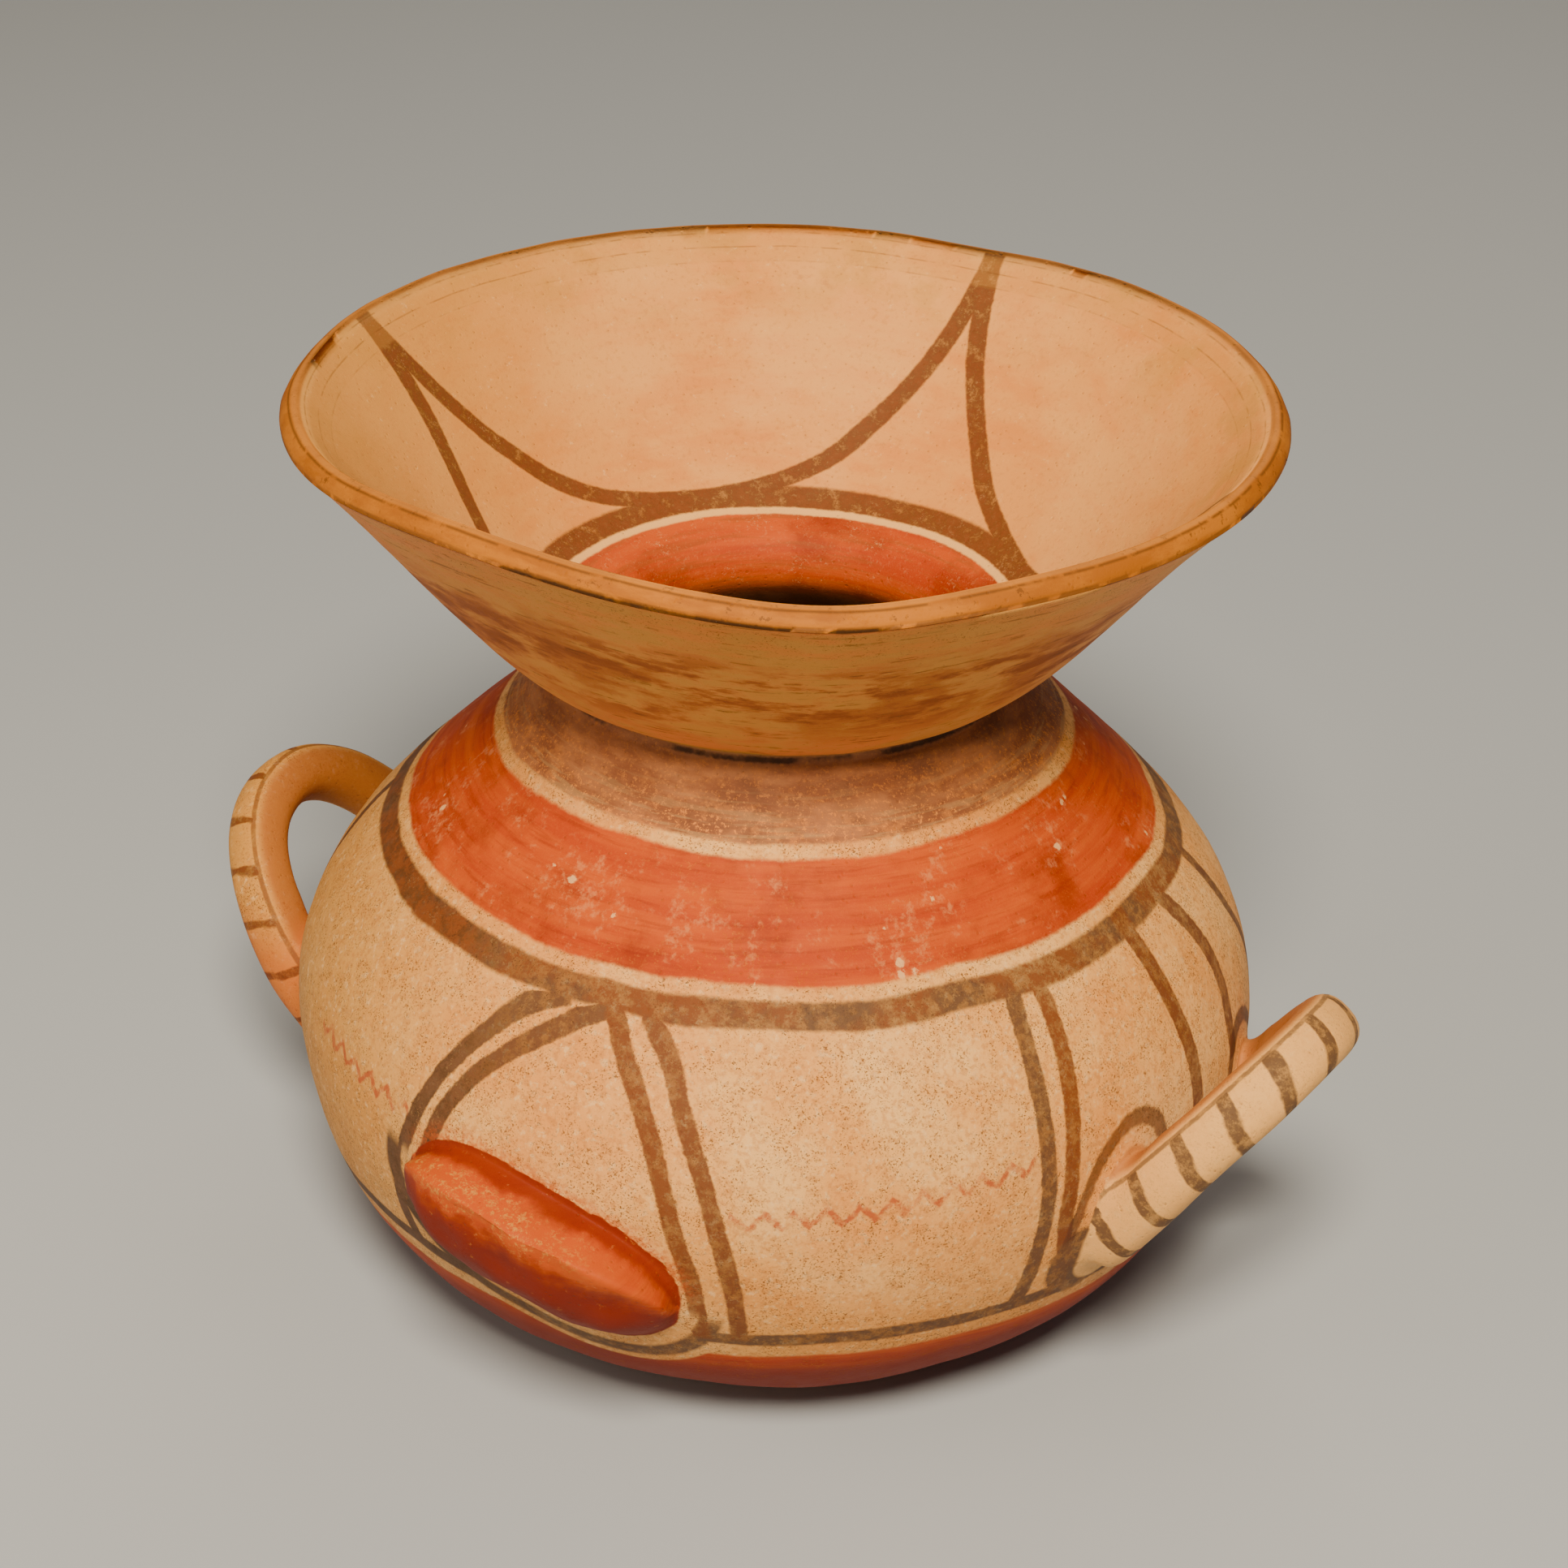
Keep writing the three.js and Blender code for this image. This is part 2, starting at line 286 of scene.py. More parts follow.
def make_uneven(points):
    """The wall leaves the true round: the body below the throat, and the mouth above it."""
    x, y, z = points.T
    azimuth = np.degrees(np.arctan2(y, x))
    radius = np.hypot(x, y)
    share = (z - THROAT_HEIGHT) / (RIM_HEIGHT - THROAT_HEIGHT)
    of_body = smoothstep(radius, 0, FOOT_RADIUS) * (1 - smoothstep(share, -0.2, 0))
    swell = sum(
        s * hump(turn_between(a, azimuth), w) * hump(z - h, t) for a, h, s, w, t in BODY_WAVES
    )
    grown = 1 + of_body * swell / np.maximum(radius, 1)
    risen = z + mouth_rise(azimuth, z)
    return np.c_[x * grown, y * grown, risen]


def linked(name, data):
    thing = bpy.data.objects.new(name, data)
    bpy.context.scene.collection.objects.link(thing)
    return thing


def mesh_object(name, points, faces):
    mesh = bpy.data.meshes.new(name)
    mesh.from_pydata((np.asarray(points) * MM).tolist(), [], faces)
    mesh.validate()
    return linked(name, mesh)


def ring_faces(rings, sides):
    """Four-sided faces between rings of points that follow each other."""
    faces = []
    for start in range(0, (rings - 1) * sides, sides):
        for k in range(sides):
            a, b = start + k, start + (k + 1) % sides
            faces.append((a, b, b + sides, a + sides))
    return faces


def body_shell():
    """The hollow body as one closed surface turned about the upright axis."""
    profile = np.vstack([OUTER[1:], LIP, INNER[:-1]])
    turns = np.arange(TURN_STEPS) / TURN_STEPS * 2 * math.pi
    rings = [np.c_[r * np.cos(turns), r * np.sin(turns), np.full(TURN_STEPS, z)] for r, z in profile]
    points = np.vstack(rings + [[[0, 0, 0]], [[0, 0, FLOOR_WALL]]])
    faces = ring_faces(len(profile), TURN_STEPS)
    foot, floor = len(points) - 2, len(points) - 1
    last = (len(profile) - 1) * TURN_STEPS
    for k in range(TURN_STEPS):
        following = (k + 1) % TURN_STEPS
        faces.append((following, k, foot))
        faces.append((last + k, last + following, floor))
    return mesh_object("body", make_uneven(points), faces)


def rounded(value, power):
    return np.sign(value) * np.abs(value) ** power


def handle_line(azimuth, root_height, half_spread, reach, rise, skew, steps):
    """Centre line of a loop, with its plane's normal, from one buried root to the other."""
    turn, rise, skew = math.radians(azimuth), math.radians(rise), math.radians(skew)
    out = np.array([math.cos(turn), math.sin(turn), 0])
    up = np.array([0, 0, 1])
    across = np.array([-math.sin(turn), math.cos(turn), 0]) * math.cos(skew) + up * math.sin(skew)
    out_up = out * math.cos(rise) + up * math.sin(rise)
    normal = np.cross(across, out_up)
    foot = out * math.sqrt(body_radius(root_height) ** 2 - half_spread ** 2) + up * root_height
    angle = np.linspace(0, math.pi, steps + 1)
    line = foot + np.outer(half_spread * rounded(np.cos(angle), 2 / LOOP_SQUARENESS), across)
    line = line + np.outer(reach * rounded(np.sin(angle), 2 / LOOP_SQUARENESS), out_up)
    buried = np.linspace(ROOT_DEPTH, 0, 4)[:-1, None] * -out_up
    line = np.vstack([line[0] + buried, line, line[-1] + buried[::-1]])
    spacing = run_along(line)
    even = np.linspace(0, spacing[-1], steps + 1)
    line = np.c_[tuple(np.interp(even, spacing, line[:, k]) for k in range(3))]
    return line, normal / np.linalg.norm(normal)


def handle_piece(name, handle):
    """A strap with rounded edges along the loop."""
    line, normal = handle_line(steps=HANDLE_STEPS, **handle)
    side = unit(np.cross(normal, unit(np.gradient(line, axis=0))))
    from_wall = np.maximum(0, np.hypot(line[:, 0], line[:, 1]) - body_radius(line[:, 2]))
    swelling = 1 + ROOT_SWELLING * np.exp(-((from_wall / ROOT_SWELLING_REACH) ** 2))
    angle = np.arange(HANDLE_SIDES) / HANDLE_SIDES * 2 * math.pi
    depth = HANDLE_THICKNESS / 2 * rounded(np.cos(angle), 2 / HANDLE_SQUARENESS)
    width = HANDLE_WIDTH / 2 * rounded(np.sin(angle), 2 / HANDLE_SQUARENESS)
    rings = line[:, None] + swelling[:, None, None] * (
        side[:, None] * depth[None, :, None] + normal[None, None] * width[None, :, None]
    )
    points = rings.reshape(-1, 3)
    faces = ring_faces(len(line), HANDLE_SIDES)
    faces.append(tuple(reversed(range(HANDLE_SIDES))))
    faces.append(tuple(len(points) - HANDLE_SIDES + k for k in range(HANDLE_SIDES)))
    return mesh_object(name, points, faces)


def lug_point(share, angle, azimuth):
    """Place on the body and height of stand of a point of the lug's face."""
    along = share * np.cos(angle)
    half_width = np.sqrt(np.maximum(1 - along ** 2, 1e-6))
    across = np.clip(share * np.sin(angle) / half_width, -1, 1)
    blunt_width = np.sqrt(1 - np.minimum(np.abs(along), 1) ** LUG_BLUNTNESS)
    crest = blunt_width ** LUG_CREST_FULLNESS
    full = np.maximum(0, 1 - across ** 2) ** LUG_FULLNESS
    hollowed = (1 - np.maximum(0, across)) ** LUG_HOLLOWING
    blend = smoothstep(across, 0, LUG_CREST_ROUNDING)
    stand = LUG_REACH * crest * (full + (hollowed - full) * blend)
    run = along * LUG_HALF_LENGTH
    climb = LUG_HALF_HEIGHT * blunt_width * (across + LUG_CREST_RISE * (1 - np.abs(across)))
    sideways = run * math.cos(LUG_TILT) + climb * math.sin(LUG_TILT)
    height = LUG_HEIGHT + climb * math.cos(LUG_TILT) - run * math.sin(LUG_TILT)
    return math.radians(azimuth) + sideways / BELLY_RADIUS, height, stand


def lug_piece(name, azimuth):
    """A thick lip of clay with a hollow above its crest, its back buried in the wall."""
    ring_shares = np.sin(np.arange(1, LUG_RINGS + 1) / LUG_RINGS * math.pi / 2)
    angle = np.arange(LUG_SIDES) / LUG_SIDES * 2 * math.pi
    share = np.r_[0, np.repeat(ring_shares, LUG_SIDES), 1, 0]
    angles = np.r_[0, np.tile(angle, LUG_RINGS), 0, 0]
    turn, height, stand = lug_point(share, angles, azimuth)
    edge = 1 + (LUG_RINGS - 1) * LUG_SIDES
    stand[edge:] = -WALL / 2
    radius = body_radius(height) + stand
    points = np.c_[radius * np.cos(turn), radius * np.sin(turn), height]
    back = len(points) - 1
    faces = []
    for k in range(LUG_SIDES):
        following = (k + 1) % LUG_SIDES
        faces.append((0, 1 + k, 1 + following))
        for start in range(1, edge, LUG_SIDES):
            a, b = start + k, start + following
            faces.append((a, a + LUG_SIDES, b + LUG_SIDES, b))
        faces.append((edge + k, back, edge + following))
    return mesh_object(name, points, faces)


def join_clay(body, others):
    """One fired piece: the handles and lugs joined to the wall."""
    for other in others:
        union = body.modifiers.new("union", "BOOLEAN")
        union.operation = "UNION"
        union.solver = "MANIFOLD"
        union.object = other
    depsgraph = bpy.context.evaluated_depsgraph_get()
    joined = bpy.data.meshes.new_from_object(body.evaluated_get(depsgraph))
    body.modifiers.clear()
    body.data = joined
    for other in others:
        bpy.data.objects.remove(other)
    return body


def nearest(places, line):
    """Which point of a line is nearest to each place, and how far away it is."""
    found = []
    for part in np.array_split(places, max(1, len(places) // BATCH)):
        gaps = np.linalg.norm(part[:, None] - line[None], axis=2)
        found.append((gaps.argmin(1), gaps.min(1)))
    return (np.concatenate(column) for column in zip(*found))


def strap_place(points, handle):
    """Gap to a handle's centre line, run along it, and the two ways across the strap."""
    line, normal = handle_line(steps=LINE_STEPS, **handle)
    side = np.cross(normal, unit(np.gradient(line, axis=0)))
    run = run_along(line)
    index, gap = nearest(points, line)
    away = points - line[index]
    outward = np.einsum("ij,ij->i", away, side[index])
    outward *= np.sign(np.einsum("ij,ij->i", side, line - line.mean(0)).sum())
    return gap, run[index], outward, away @ -normal


def lug_place(points, azimuth):
    """Depth within a lug's outline, height about its middle, and place across its face from the crest."""
    x, y, z = points.T
    turn = np.radians(turn_between(azimuth, np.degrees(np.arctan2(y, x))))
    sideways = turn * BELLY_RADIUS
    rise = z - LUG_HEIGHT
    run = (sideways * math.cos(LUG_TILT) - rise * math.sin(LUG_TILT)) / LUG_HALF_LENGTH
    climb = (sideways * math.sin(LUG_TILT) + rise * math.cos(LUG_TILT)) / LUG_HALF_HEIGHT
    from_crest = climb / np.sqrt(np.maximum(1 - np.abs(run) ** LUG_BLUNTNESS, 0.02)) - LUG_CREST_RISE
    above, below = from_crest / (1 - LUG_CREST_RISE), from_crest / (1 + LUG_CREST_RISE)
    across = np.clip(np.where(from_crest > 0, above, below), -1, 1)
    share = np.sqrt(np.abs(run) ** LUG_BLUNTNESS + climb ** 2)
    return (1 - share) * LUG_HALF_HEIGHT, climb, across, run


def vertex_values(mesh, key):
    flat = np.zeros(len(mesh.vertices) * 3)
    mesh.vertices.foreach_get(key, flat)
    return flat.reshape(-1, 3)


def coordinates(mesh):
    return vertex_values(mesh, "co") / MM


def soften_joins(mesh, facts):
    """Round the corners where handles and lugs leave the wall, and the lugs' crests."""
    points = coordinates(mesh)
    x, y, z = points.T
    edges = np.zeros(len(mesh.edges) * 2, int)
    mesh.edges.foreach_get("vertices", edges)
    a, b = edges.reshape(-1, 2).T
    count = np.bincount(np.r_[a, b], minlength=len(points))
    stand = np.hypot(x, y) - body_radius(z)
    outside = (facts["inside"] < 0.5) & (z < THROAT_HEIGHT - 10)
    near_handle = 1 - smoothstep(np.abs(facts["handle"]), *HANDLE_CORNER)
    near_lug = 1 - smoothstep(np.abs(facts["lug"]), *LUG_CORNER)
    weight = outside * np.maximum(near_handle, near_lug) * (1 - smoothstep(np.abs(stand), *WALL_CORNER))
    crest_reach = 0.5 + 0.5 * smoothstep(facts["lug_run"], 0.35, 0.6)
    on_crest = smoothstep(facts["lug"], 0.5, 2) * (np.abs(facts["lug_across"]) < crest_reach)
    weight = np.maximum(weight, outside * on_crest)
    for _ in range(SOFTENING_ROUNDS):
        total = np.zeros_like(points)
        np.add.at(total, a, points[b])
        np.add.at(total, b, points[a])
        mean = total / count[:, None]
        points += SOFTENING_SHARE * weight[:, None] * (mean - points)
    mesh.vertices.foreach_set("co", (points * MM).ravel())


def clay_facts(points):
    """What each point of the surface belongs to, as smooth numbers that the paint reads."""
    x, y, z = points.T
    radius = np.hypot(x, y)
    azimuth = np.degrees(np.arctan2(y, x))
    level = z - mouth_rise(azimuth, z)
    place = np.c_[radius, level]
    facts = {"level": level}
    (_, from_outer), (_, from_inner) = nearest(place, OUTER), nearest(place, INNER)
    facts["inside"] = smoothstep(from_outer - from_inner, -1.5, 1.5)
    end, tangent = bezier(*FLARE, [1.0])
    facts["from_lip"] = (place - end[0]) @ -tangent[0]
    facts["across_lip"] = (place - end[0]) @ np.array([-tangent[0][1], tangent[0][0]])

    stand = radius - body_radius(z)
    on_wall = (stand > -2) & (z < THROAT_HEIGHT)
    lugs = [lug_place(points, azimuth) for azimuth in LUG_AZIMUTHS]
    near = lugs[0][0] > lugs[1][0]
    for name, first, second in zip(("lug", "lug_climb", "lug_across", "lug_run"), *lugs):
        facts[name] = np.where(near, first, second)
    facts["lug"] = np.where(on_wall, facts["lug"], -20)

    straps = [strap_place(points, handle) for handle in HANDLES]
    near = straps[0][0] < straps[1][0]
    names = ("handle", "handle_run", "handle_outward", "handle_rise")
    for name, first, second in zip(names, *straps):
        facts[name] = np.where(near, first, second)
    facts["handle"] = np.minimum(facts["handle"] - HANDLE_THICKNESS / 2, 60)
    return facts


def roughen(mesh, facts):
    """Low swells and dents of a hand-built wall, its outside pressed in so that the pot keeps its size."""
    points = coordinates(mesh)
    normals = vertex_values(mesh, "normal")
    swells = np.array([noise.noise(Vector(p) / SWELL_LENGTH) for p in points.tolist()])
    dents = np.array([noise.noise(Vector(p) / DENT_LENGTH) for p in points.tolist()])
    outside = 1 - facts["inside"]
    on_lug = smoothstep(facts["lug"], 0, 5) * outside
    depth = SWELL_DEPTH * swells + (DENT_DEPTH + LUG_DENT_DEPTH * on_lug) * dents
    depth -= LUG_PRESS * on_lug + OUTSIDE_PRESS * outside
    depth *= smoothstep(points[:, 2], 0.5, 6)
    mesh.vertices.foreach_set("co", ((points + normals * depth[:, None]) * MM).ravel())


def build_pot():
    """The whole pot as one mesh that carries its facts for the paint."""
    pot = body_shell()
    pot.name = "painted_pot"
    others = [handle_piece(f"handle_{i}", handle) for i, handle in enumerate(HANDLES)]
    others += [lug_piece(f"lug_{i}", azimuth) for i, azimuth in enumerate(LUG_AZIMUTHS)]
    join_clay(pot, others)
    joined = bmesh.new()
    joined.from_mesh(pot.data)
    bmesh.ops.remove_doubles(joined, verts=joined.verts, dist=MERGE_DISTANCE * MM)
    bmesh.ops.triangulate(joined, faces=[f for f in joined.faces if len(f.verts) > 4])
    joined.to_mesh(pot.data)
    joined.free()
    facts = clay_facts(coordinates(pot.data))
    soften_joins(pot.data, facts)
    pot.data.update()
    roughen(pot.data, facts)
    pot.data.polygons.foreach_set("use_smooth", [True] * len(pot.data.polygons))
    for name, values in facts.items():
        pot.data.attributes.new(name, "FLOAT", "POINT").data.foreach_set("value", values.astype(np.float32))
    pot.data.update()
    return pot


class Nodes:
    """Short ways to write a material's node tree."""

    def __init__(self, material):
        self.tree = material.node_tree
        self.tree.nodes.clear()

    def add(self, kind, inputs=(), **settings):
        node = self.tree.nodes.new(kind)
        for key, value in settings.items():
            setattr(node, key, value)
        for socket, value in inputs:
            self.put(node.inputs[socket], value)
        return node

    def put(self, socket, value):
        if isinstance(value, bpy.types.NodeSocket):
            self.tree.links.new(value, socket)
        else:
            socket.default_value = value

    def math(self, operation, *values):
        return self.add("ShaderNodeMath", enumerate(values), operation=operation).outputs[0]

    def fold(self, operation, total, *others):
        for value in others:
            total = self.math(operation, total, value)
        return total

    def plus(self, *values):
        return self.fold("ADD", *values)

    def minus(self, a, b):
        return self.math("SUBTRACT", a, b)

    def times(self, *values):
        return self.fold("MULTIPLY", *values)

    def size(self, a):
        return self.math("ABSOLUTE", a)

    def least(self, *values):
        return self.fold("MINIMUM", *values)

    def most(self, *values):
        return self.fold("MAXIMUM", *values)

    def step(self, value, low, high):
        """0 below low and 1 above high, or the other way round where low is the greater."""
        falling = int(low > high)
        inputs = (("Value", value), ("From Min", min(low, high)), ("From Max", max(low, high)),
                  ("To Min", falling), ("To Max", 1 - falling))
        return self.add("ShaderNodeMapRange", inputs, interpolation_type="SMOOTHSTEP").outputs["Result"]

    def past(self, value, edge, soft):
        """1 past a soft edge, or before it where soft is below 0."""
        return self.step(value, edge - soft, edge + soft)

    def within(self, value, low, high, soft=0.4):
        """1 from low to high, with soft edges."""
        return self.times(self.past(value, low, soft), self.past(value, high, -soft))

    def attribute(self, name):
        return self.add("ShaderNodeAttribute", attribute_name=name).outputs["Fac"]

    def noise(self, vector, scale, detail, rough=0.55):
        inputs = (("Vector", vector), ("Scale", scale), ("Detail", detail), ("Roughness", rough))
        return self.add("ShaderNodeTexNoise", inputs).outputs["Fac"]

    def cells(self, vector, scale):
        inputs = (("Vector", vector), ("Scale", scale))
        return self.add("ShaderNodeTexVoronoi", inputs).outputs["Distance"]

    def vector(self, x, y, z):
        return self.add("ShaderNodeCombineXYZ", enumerate((x, y, z))).outputs[0]

    def mix(self, share, a, b):
        """a where the share is 0 and b where it is 1."""
        a, b = ((*value, 1) if isinstance(value, tuple) else value for value in (a, b))
        return self.add("ShaderNodeMix", ((0, share), (6, a), (7, b)), data_type="RGBA").outputs[2]

    def paint(self, coat, *layers):
        """The coat with colours laid over it in turn, each where its mark is, at some strength."""
        for colour, mark, strength in layers:
            coat = self.mix(self.times(mark, strength), coat, colour)
        return coat

    def curve(self, value, points):
        """A smooth curve through points, all within 0 to 1 each way."""
        node = self.add("ShaderNodeFloatCurve", [("Value", value)])
        line = node.mapping.curves[0]
        for _ in range(len(points) - 2):
            line.points.new(0.5, 0.5)
        for point, place in zip(line.points, sorted(points)):
            point.location = place
        node.mapping.extend = "HORIZONTAL"
        node.mapping.update()
        return node.outputs[0]


# Clay and slip colours, linear. In the paint below, the two numbers of a step on a noise are the
# values between which a mark fades in, and a number times a mark is the mark's strength.
CREAM = (0.75, 0.340, 0.088)
CREAM_PALE = (0.85, 0.470, 0.165)
CREAM_WARM = (0.70, 0.245, 0.048)
SAND = (0.46, 0.165, 0.036)
OCHRE = (0.57, 0.265, 0.052)
OCHRE_DEEP = (0.13, 0.045, 0.010)
UMBER = (0.36, 0.100, 0.018)
RED = (0.43, 0.045, 0.0030)
RED_LIGHT = (0.54, 0.084, 0.0050)
# Deep red: darker clouds in the red slip, and painted shade on the lugs and low on the base
RED_DEEP = (0.20, 0.013, 0.0015)
BROWN_GREY = (0.078, 0.038, 0.026)
BROWN_DEEP = (0.022, 0.009, 0.004)
BROWN_RED = (0.150, 0.030, 0.006)
CHALK = (0.86, 0.55, 0.26)
LIP_OCHRE = (0.34, 0.100, 0.006)
LIP_LIGHT = (0.46, 0.150, 0.009)
CHALKY_RED = (0.64, 0.230, 0.085)
GREY_WEAR = (0.46, 0.260, 0.105)
NECK_BROWN = (0.380, 0.145, 0.058)
NECK_DARK = (0.240, 0.080, 0.034)
FAINT_RED = (0.42, 0.075, 0.020)
# Bare clay inside below the throat, its darkness partly painted shade of the deep inside
CLAY_BARE_AND_SHADED = (0.240, 0.105, 0.045)
CLAY_BARE_DARK_AND_SHADED = (0.120, 0.052, 0.024)

# Heights of the painted bands on the outside, how soft their edges are, and where the plain foot ends
CREAM_LINE_TOP = 123.6
CREAM_LINE_LOW = 121.5
RED_BAND_LOW = 104.3
DARK_LINE_TOP = 102.2
DARK_LINE_LOW = 98.0
BASE_LINE_TOP = 38.2
BASE_LINE_LOW = 34.6
BASE_RED_TOP = 30.7
BAND_SOFTNESS = 0.4
FOOT_TOP = (5.0, 2.0)

# Bands about a lug, as depths within its outline. Below its middle: brown line, gap in the line and
# in the red of the base, and cream halo. Above its middle: red blush.
LUG_LINE = (-6.8, -3.6)
LUG_LINE_GAP = (-5.0, -5.6)
LUG_BASE_GAP = (-8.2, -8.9)
LUG_HALO = (-3.2, 0.5)
LUG_BLUSH = (-4.5, -0.5)

# Brown ring about a handle's root: its distances from the strap, the heights between which it fades
# in, and the distances between which the strap's own coat does
ROOT_RING = (4.6, 7.2)
ROOT_RING_LOW = (47, 51)
STRAP_EDGE = (2.6, 1.6)

# Strokes on the body: the brush's half width, how red its paint is, and points of azimuth in
# degrees and height. They frame the lug and the handle on one half of the pot, and the other
# half repeats them. Each curve runs from the low to the high height.
STROKE_LOW = 30.0
STROKE_HIGH = 105.0
STROKES = (
    (1.8, 0.15, ((-92, 99), (-97, 95.6), (-101.3, 89.7), (-104.5, 83), (-106.6, 76.5), (-108.5, 68),
                 (-110, 60), (-111.5, 46), (-110, 36))),
    (1.8, 0.3, ((-86, 99), (-90.7, 95), (-95.3, 90.3), (-99.7, 84.2), (-102.8, 77.3), (-104.6, 71),
                (-106, 62))),
    (1.8, 0.9, ((-85.3, 99), (-83, 93.6), (-80, 86.7), (-77.9, 80.5), (-75.6, 70), (-74, 60), (-72.6, 52),
                (-71.6, 36))),
    (1.8, 0.75, ((-80.5, 99), (-76.7, 92.5), (-74.5, 85.2), (-72, 76), (-69.8, 64), (-68.2, 52.4),
                 (-67.2, 36))),
    (1.9, 0.1, ((-30.8, 99), (-31.2, 93.3), (-31.6, 80), (-32, 64), (-33, 48), (-34.3, 36))),
    (1.9, 1.0, ((-26.6, 99), (-26.5, 92.8), (-27.6, 79), (-28.8, 65.5), (-29.4, 55), (-28.8, 46),
                (-28.3, 36))),
    (2.2, 0.8, ((-7.3, 99), (-6.9, 91), (-6.6, 83), (-6.3, 74.5), (-6.1, 64))),
    (2.1, 0.6, ((3.5, 99), (5.9, 90), (6.1, 79.6), (4.9, 72), (4.9, 64))),
    (1.8, 0.3, ((18, 99), (19.7, 87), (21.2, 76), (22.4, 60), (23.5, 44), (24, 36))),
)

# The half of the pot that azimuths are wrapped to, and the share of a curve over which its lean is read
HALF_START = -135.0
AZIMUTH_SPAN = 180.0
CURVE_STEP = 0.02

# Smudge of brown between the last stroke before the handle and the handle's root
SMUDGE_AZIMUTH = -25.5
SMUDGE_HEIGHT = 43.0
SMUDGE_RUN = 5.5
SMUDGE_RISE = 9.5

# Fine zigzags: first and last azimuth, height at azimuth 0, rise for each degree. Their steepness is
# the share of an upright distance that lies aside of the line, and a degree at the belly is 1.7 mm.
ZIGZAGS = ((-68.5, -33.5, 76.1, 0.155), (-130.5, -109.3, 61.6, -0.07))
ZIGZAG_PITCH = 3.5
ZIGZAG_SWING = 1.6
ZIGZAG_HALF_WIDTH = 0.6
ZIGZAG_DRIFT = 3.0
ZIGZAG_UNEVENNESS = 2.2
ZIGZAG_STEEPNESS = 0.72
BELLY_DEGREE = 1.7

# The star inside the mouth: its tips' azimuths, and its edge from a tip towards the throat as
# points of reach along the tip's own line and distance aside of it. Then the longest reach, the
# lean of the edge, half the width of its brown line, and the radii of the rings about the throat.
STAR_TIPS = (87.6, 183.6, -84.0, -4.0)
STAR_EDGE = ((29, 41.5), (36.5, 35.3), (46, 26.5), (55, 18.2), (63.5, 12.2), (71, 7.4), (77, 4.3),
             (84, 1.9), (92, 0.2))
STAR_REACH = 100.0
STAR_LEAN = 0.86
STAR_HALF_WIDTH = 1.9
RED_RING = 46.2
CREAM_RING = 47.8
BROWN_RING = 52.2

# Handles: cross stripes along the strap, and the line on the edge between its outer and upper sides
STRIPE_PITCH = 10.6
STRIPE_HALF_WIDTH = (0.85, 1.4)
EDGE_LINE_HALF_WIDTH = 0.8

# Lip: thin dark lines across its end, its inner part, the bevel behind it and the bevel's rings
LIP_LINES = ((-1.0, 0.5), (3.2, 3.7))
LIP_INNER_PART = (3.6, 4.2)
BEVEL = (1.0, 8.5)
BEVEL_RING_PITCH = 1.7

# Dark line along the crease where the throat is narrowest: its reach below the throat's height
THROAT_CREASE_LINE = (-1.2, -0.3)

# Surface of the clay: sheen, roughness, and the strength and depth of the fine relief
SHEEN = 0.18
ROUGHNESS = 0.52
RELIEF_STRENGTH = 0.55
RELIEF_DEPTH = 0.35

# Floor: half its width, colour and roughness
FLOOR_HALF = 3000
FLOOR_COLOUR = (0.42, 0.47, 0.58)
FLOOR_ROUGHNESS = 0.8

# Lamps: place and breadth in metres, power in watts, and colour
LAMP_TARGET = (0, 0, 0.1)
LAMPS = {
    "key": ((0.45, -0.90, 1.25), 0.45, 41, (1.0, 0.83, 0.56)),
    "fill": ((-0.9, -0.9, 0.6), 0.9, 5, (1.0, 0.83, 0.56)),
    "back": ((-0.2, 1.0, 1.1), 0.8, 4, (1.0, 0.84, 0.60)),
}
SURROUND_COLOUR = (1.0, 0.86, 0.66, 1)
SURROUND_STRENGTH = 0.13


def painted_line(n, height, turn, radius, line):
    """Distance aside of a line that is drawn as azimuths against heights."""
    span = STROKE_HIGH - STROKE_LOW
    share = n.math("DIVIDE", n.minus(height, STROKE_LOW), span)
    points = [((z - STROKE_LOW) / span, (a - HALF_START) / AZIMUTH_SPAN) for a, z in line]
    centre, higher = n.curve(share, points), n.curve(n.plus(share, CURVE_STEP), points)
    degree = n.times(radius, math.radians(1))
    lean = n.times(n.minus(higher, centre), AZIMUTH_SPAN / (CURVE_STEP * span), degree)
    aside = n.minus(turn, n.plus(n.times(centre, AZIMUTH_SPAN), HALF_START))
    steep = n.math("SQRT", n.plus(1.0, n.times(lean, lean)))
    return n.math("DIVIDE", n.times(n.size(aside), degree), steep)


def stroke_paint(n, m):
    """Depth within the nearest stroke, and how red its paint is."""
    depths, tints = [], []
    for half_width, red, line in STROKES:
        inward = n.minus(half_width, n.plus(painted_line(n, m.z, m.turn, m.radius, line), m.brush))
        depths.append(n.least(inward, n.minus(m.z, min(z for _, z in line))))
        tints.append(n.times(n.step(depths[-1], -1.0, 0.5), red))
    return n.least(n.most(*depths), n.minus(DARK_LINE_LOW + 1, m.z)), n.most(*tints)


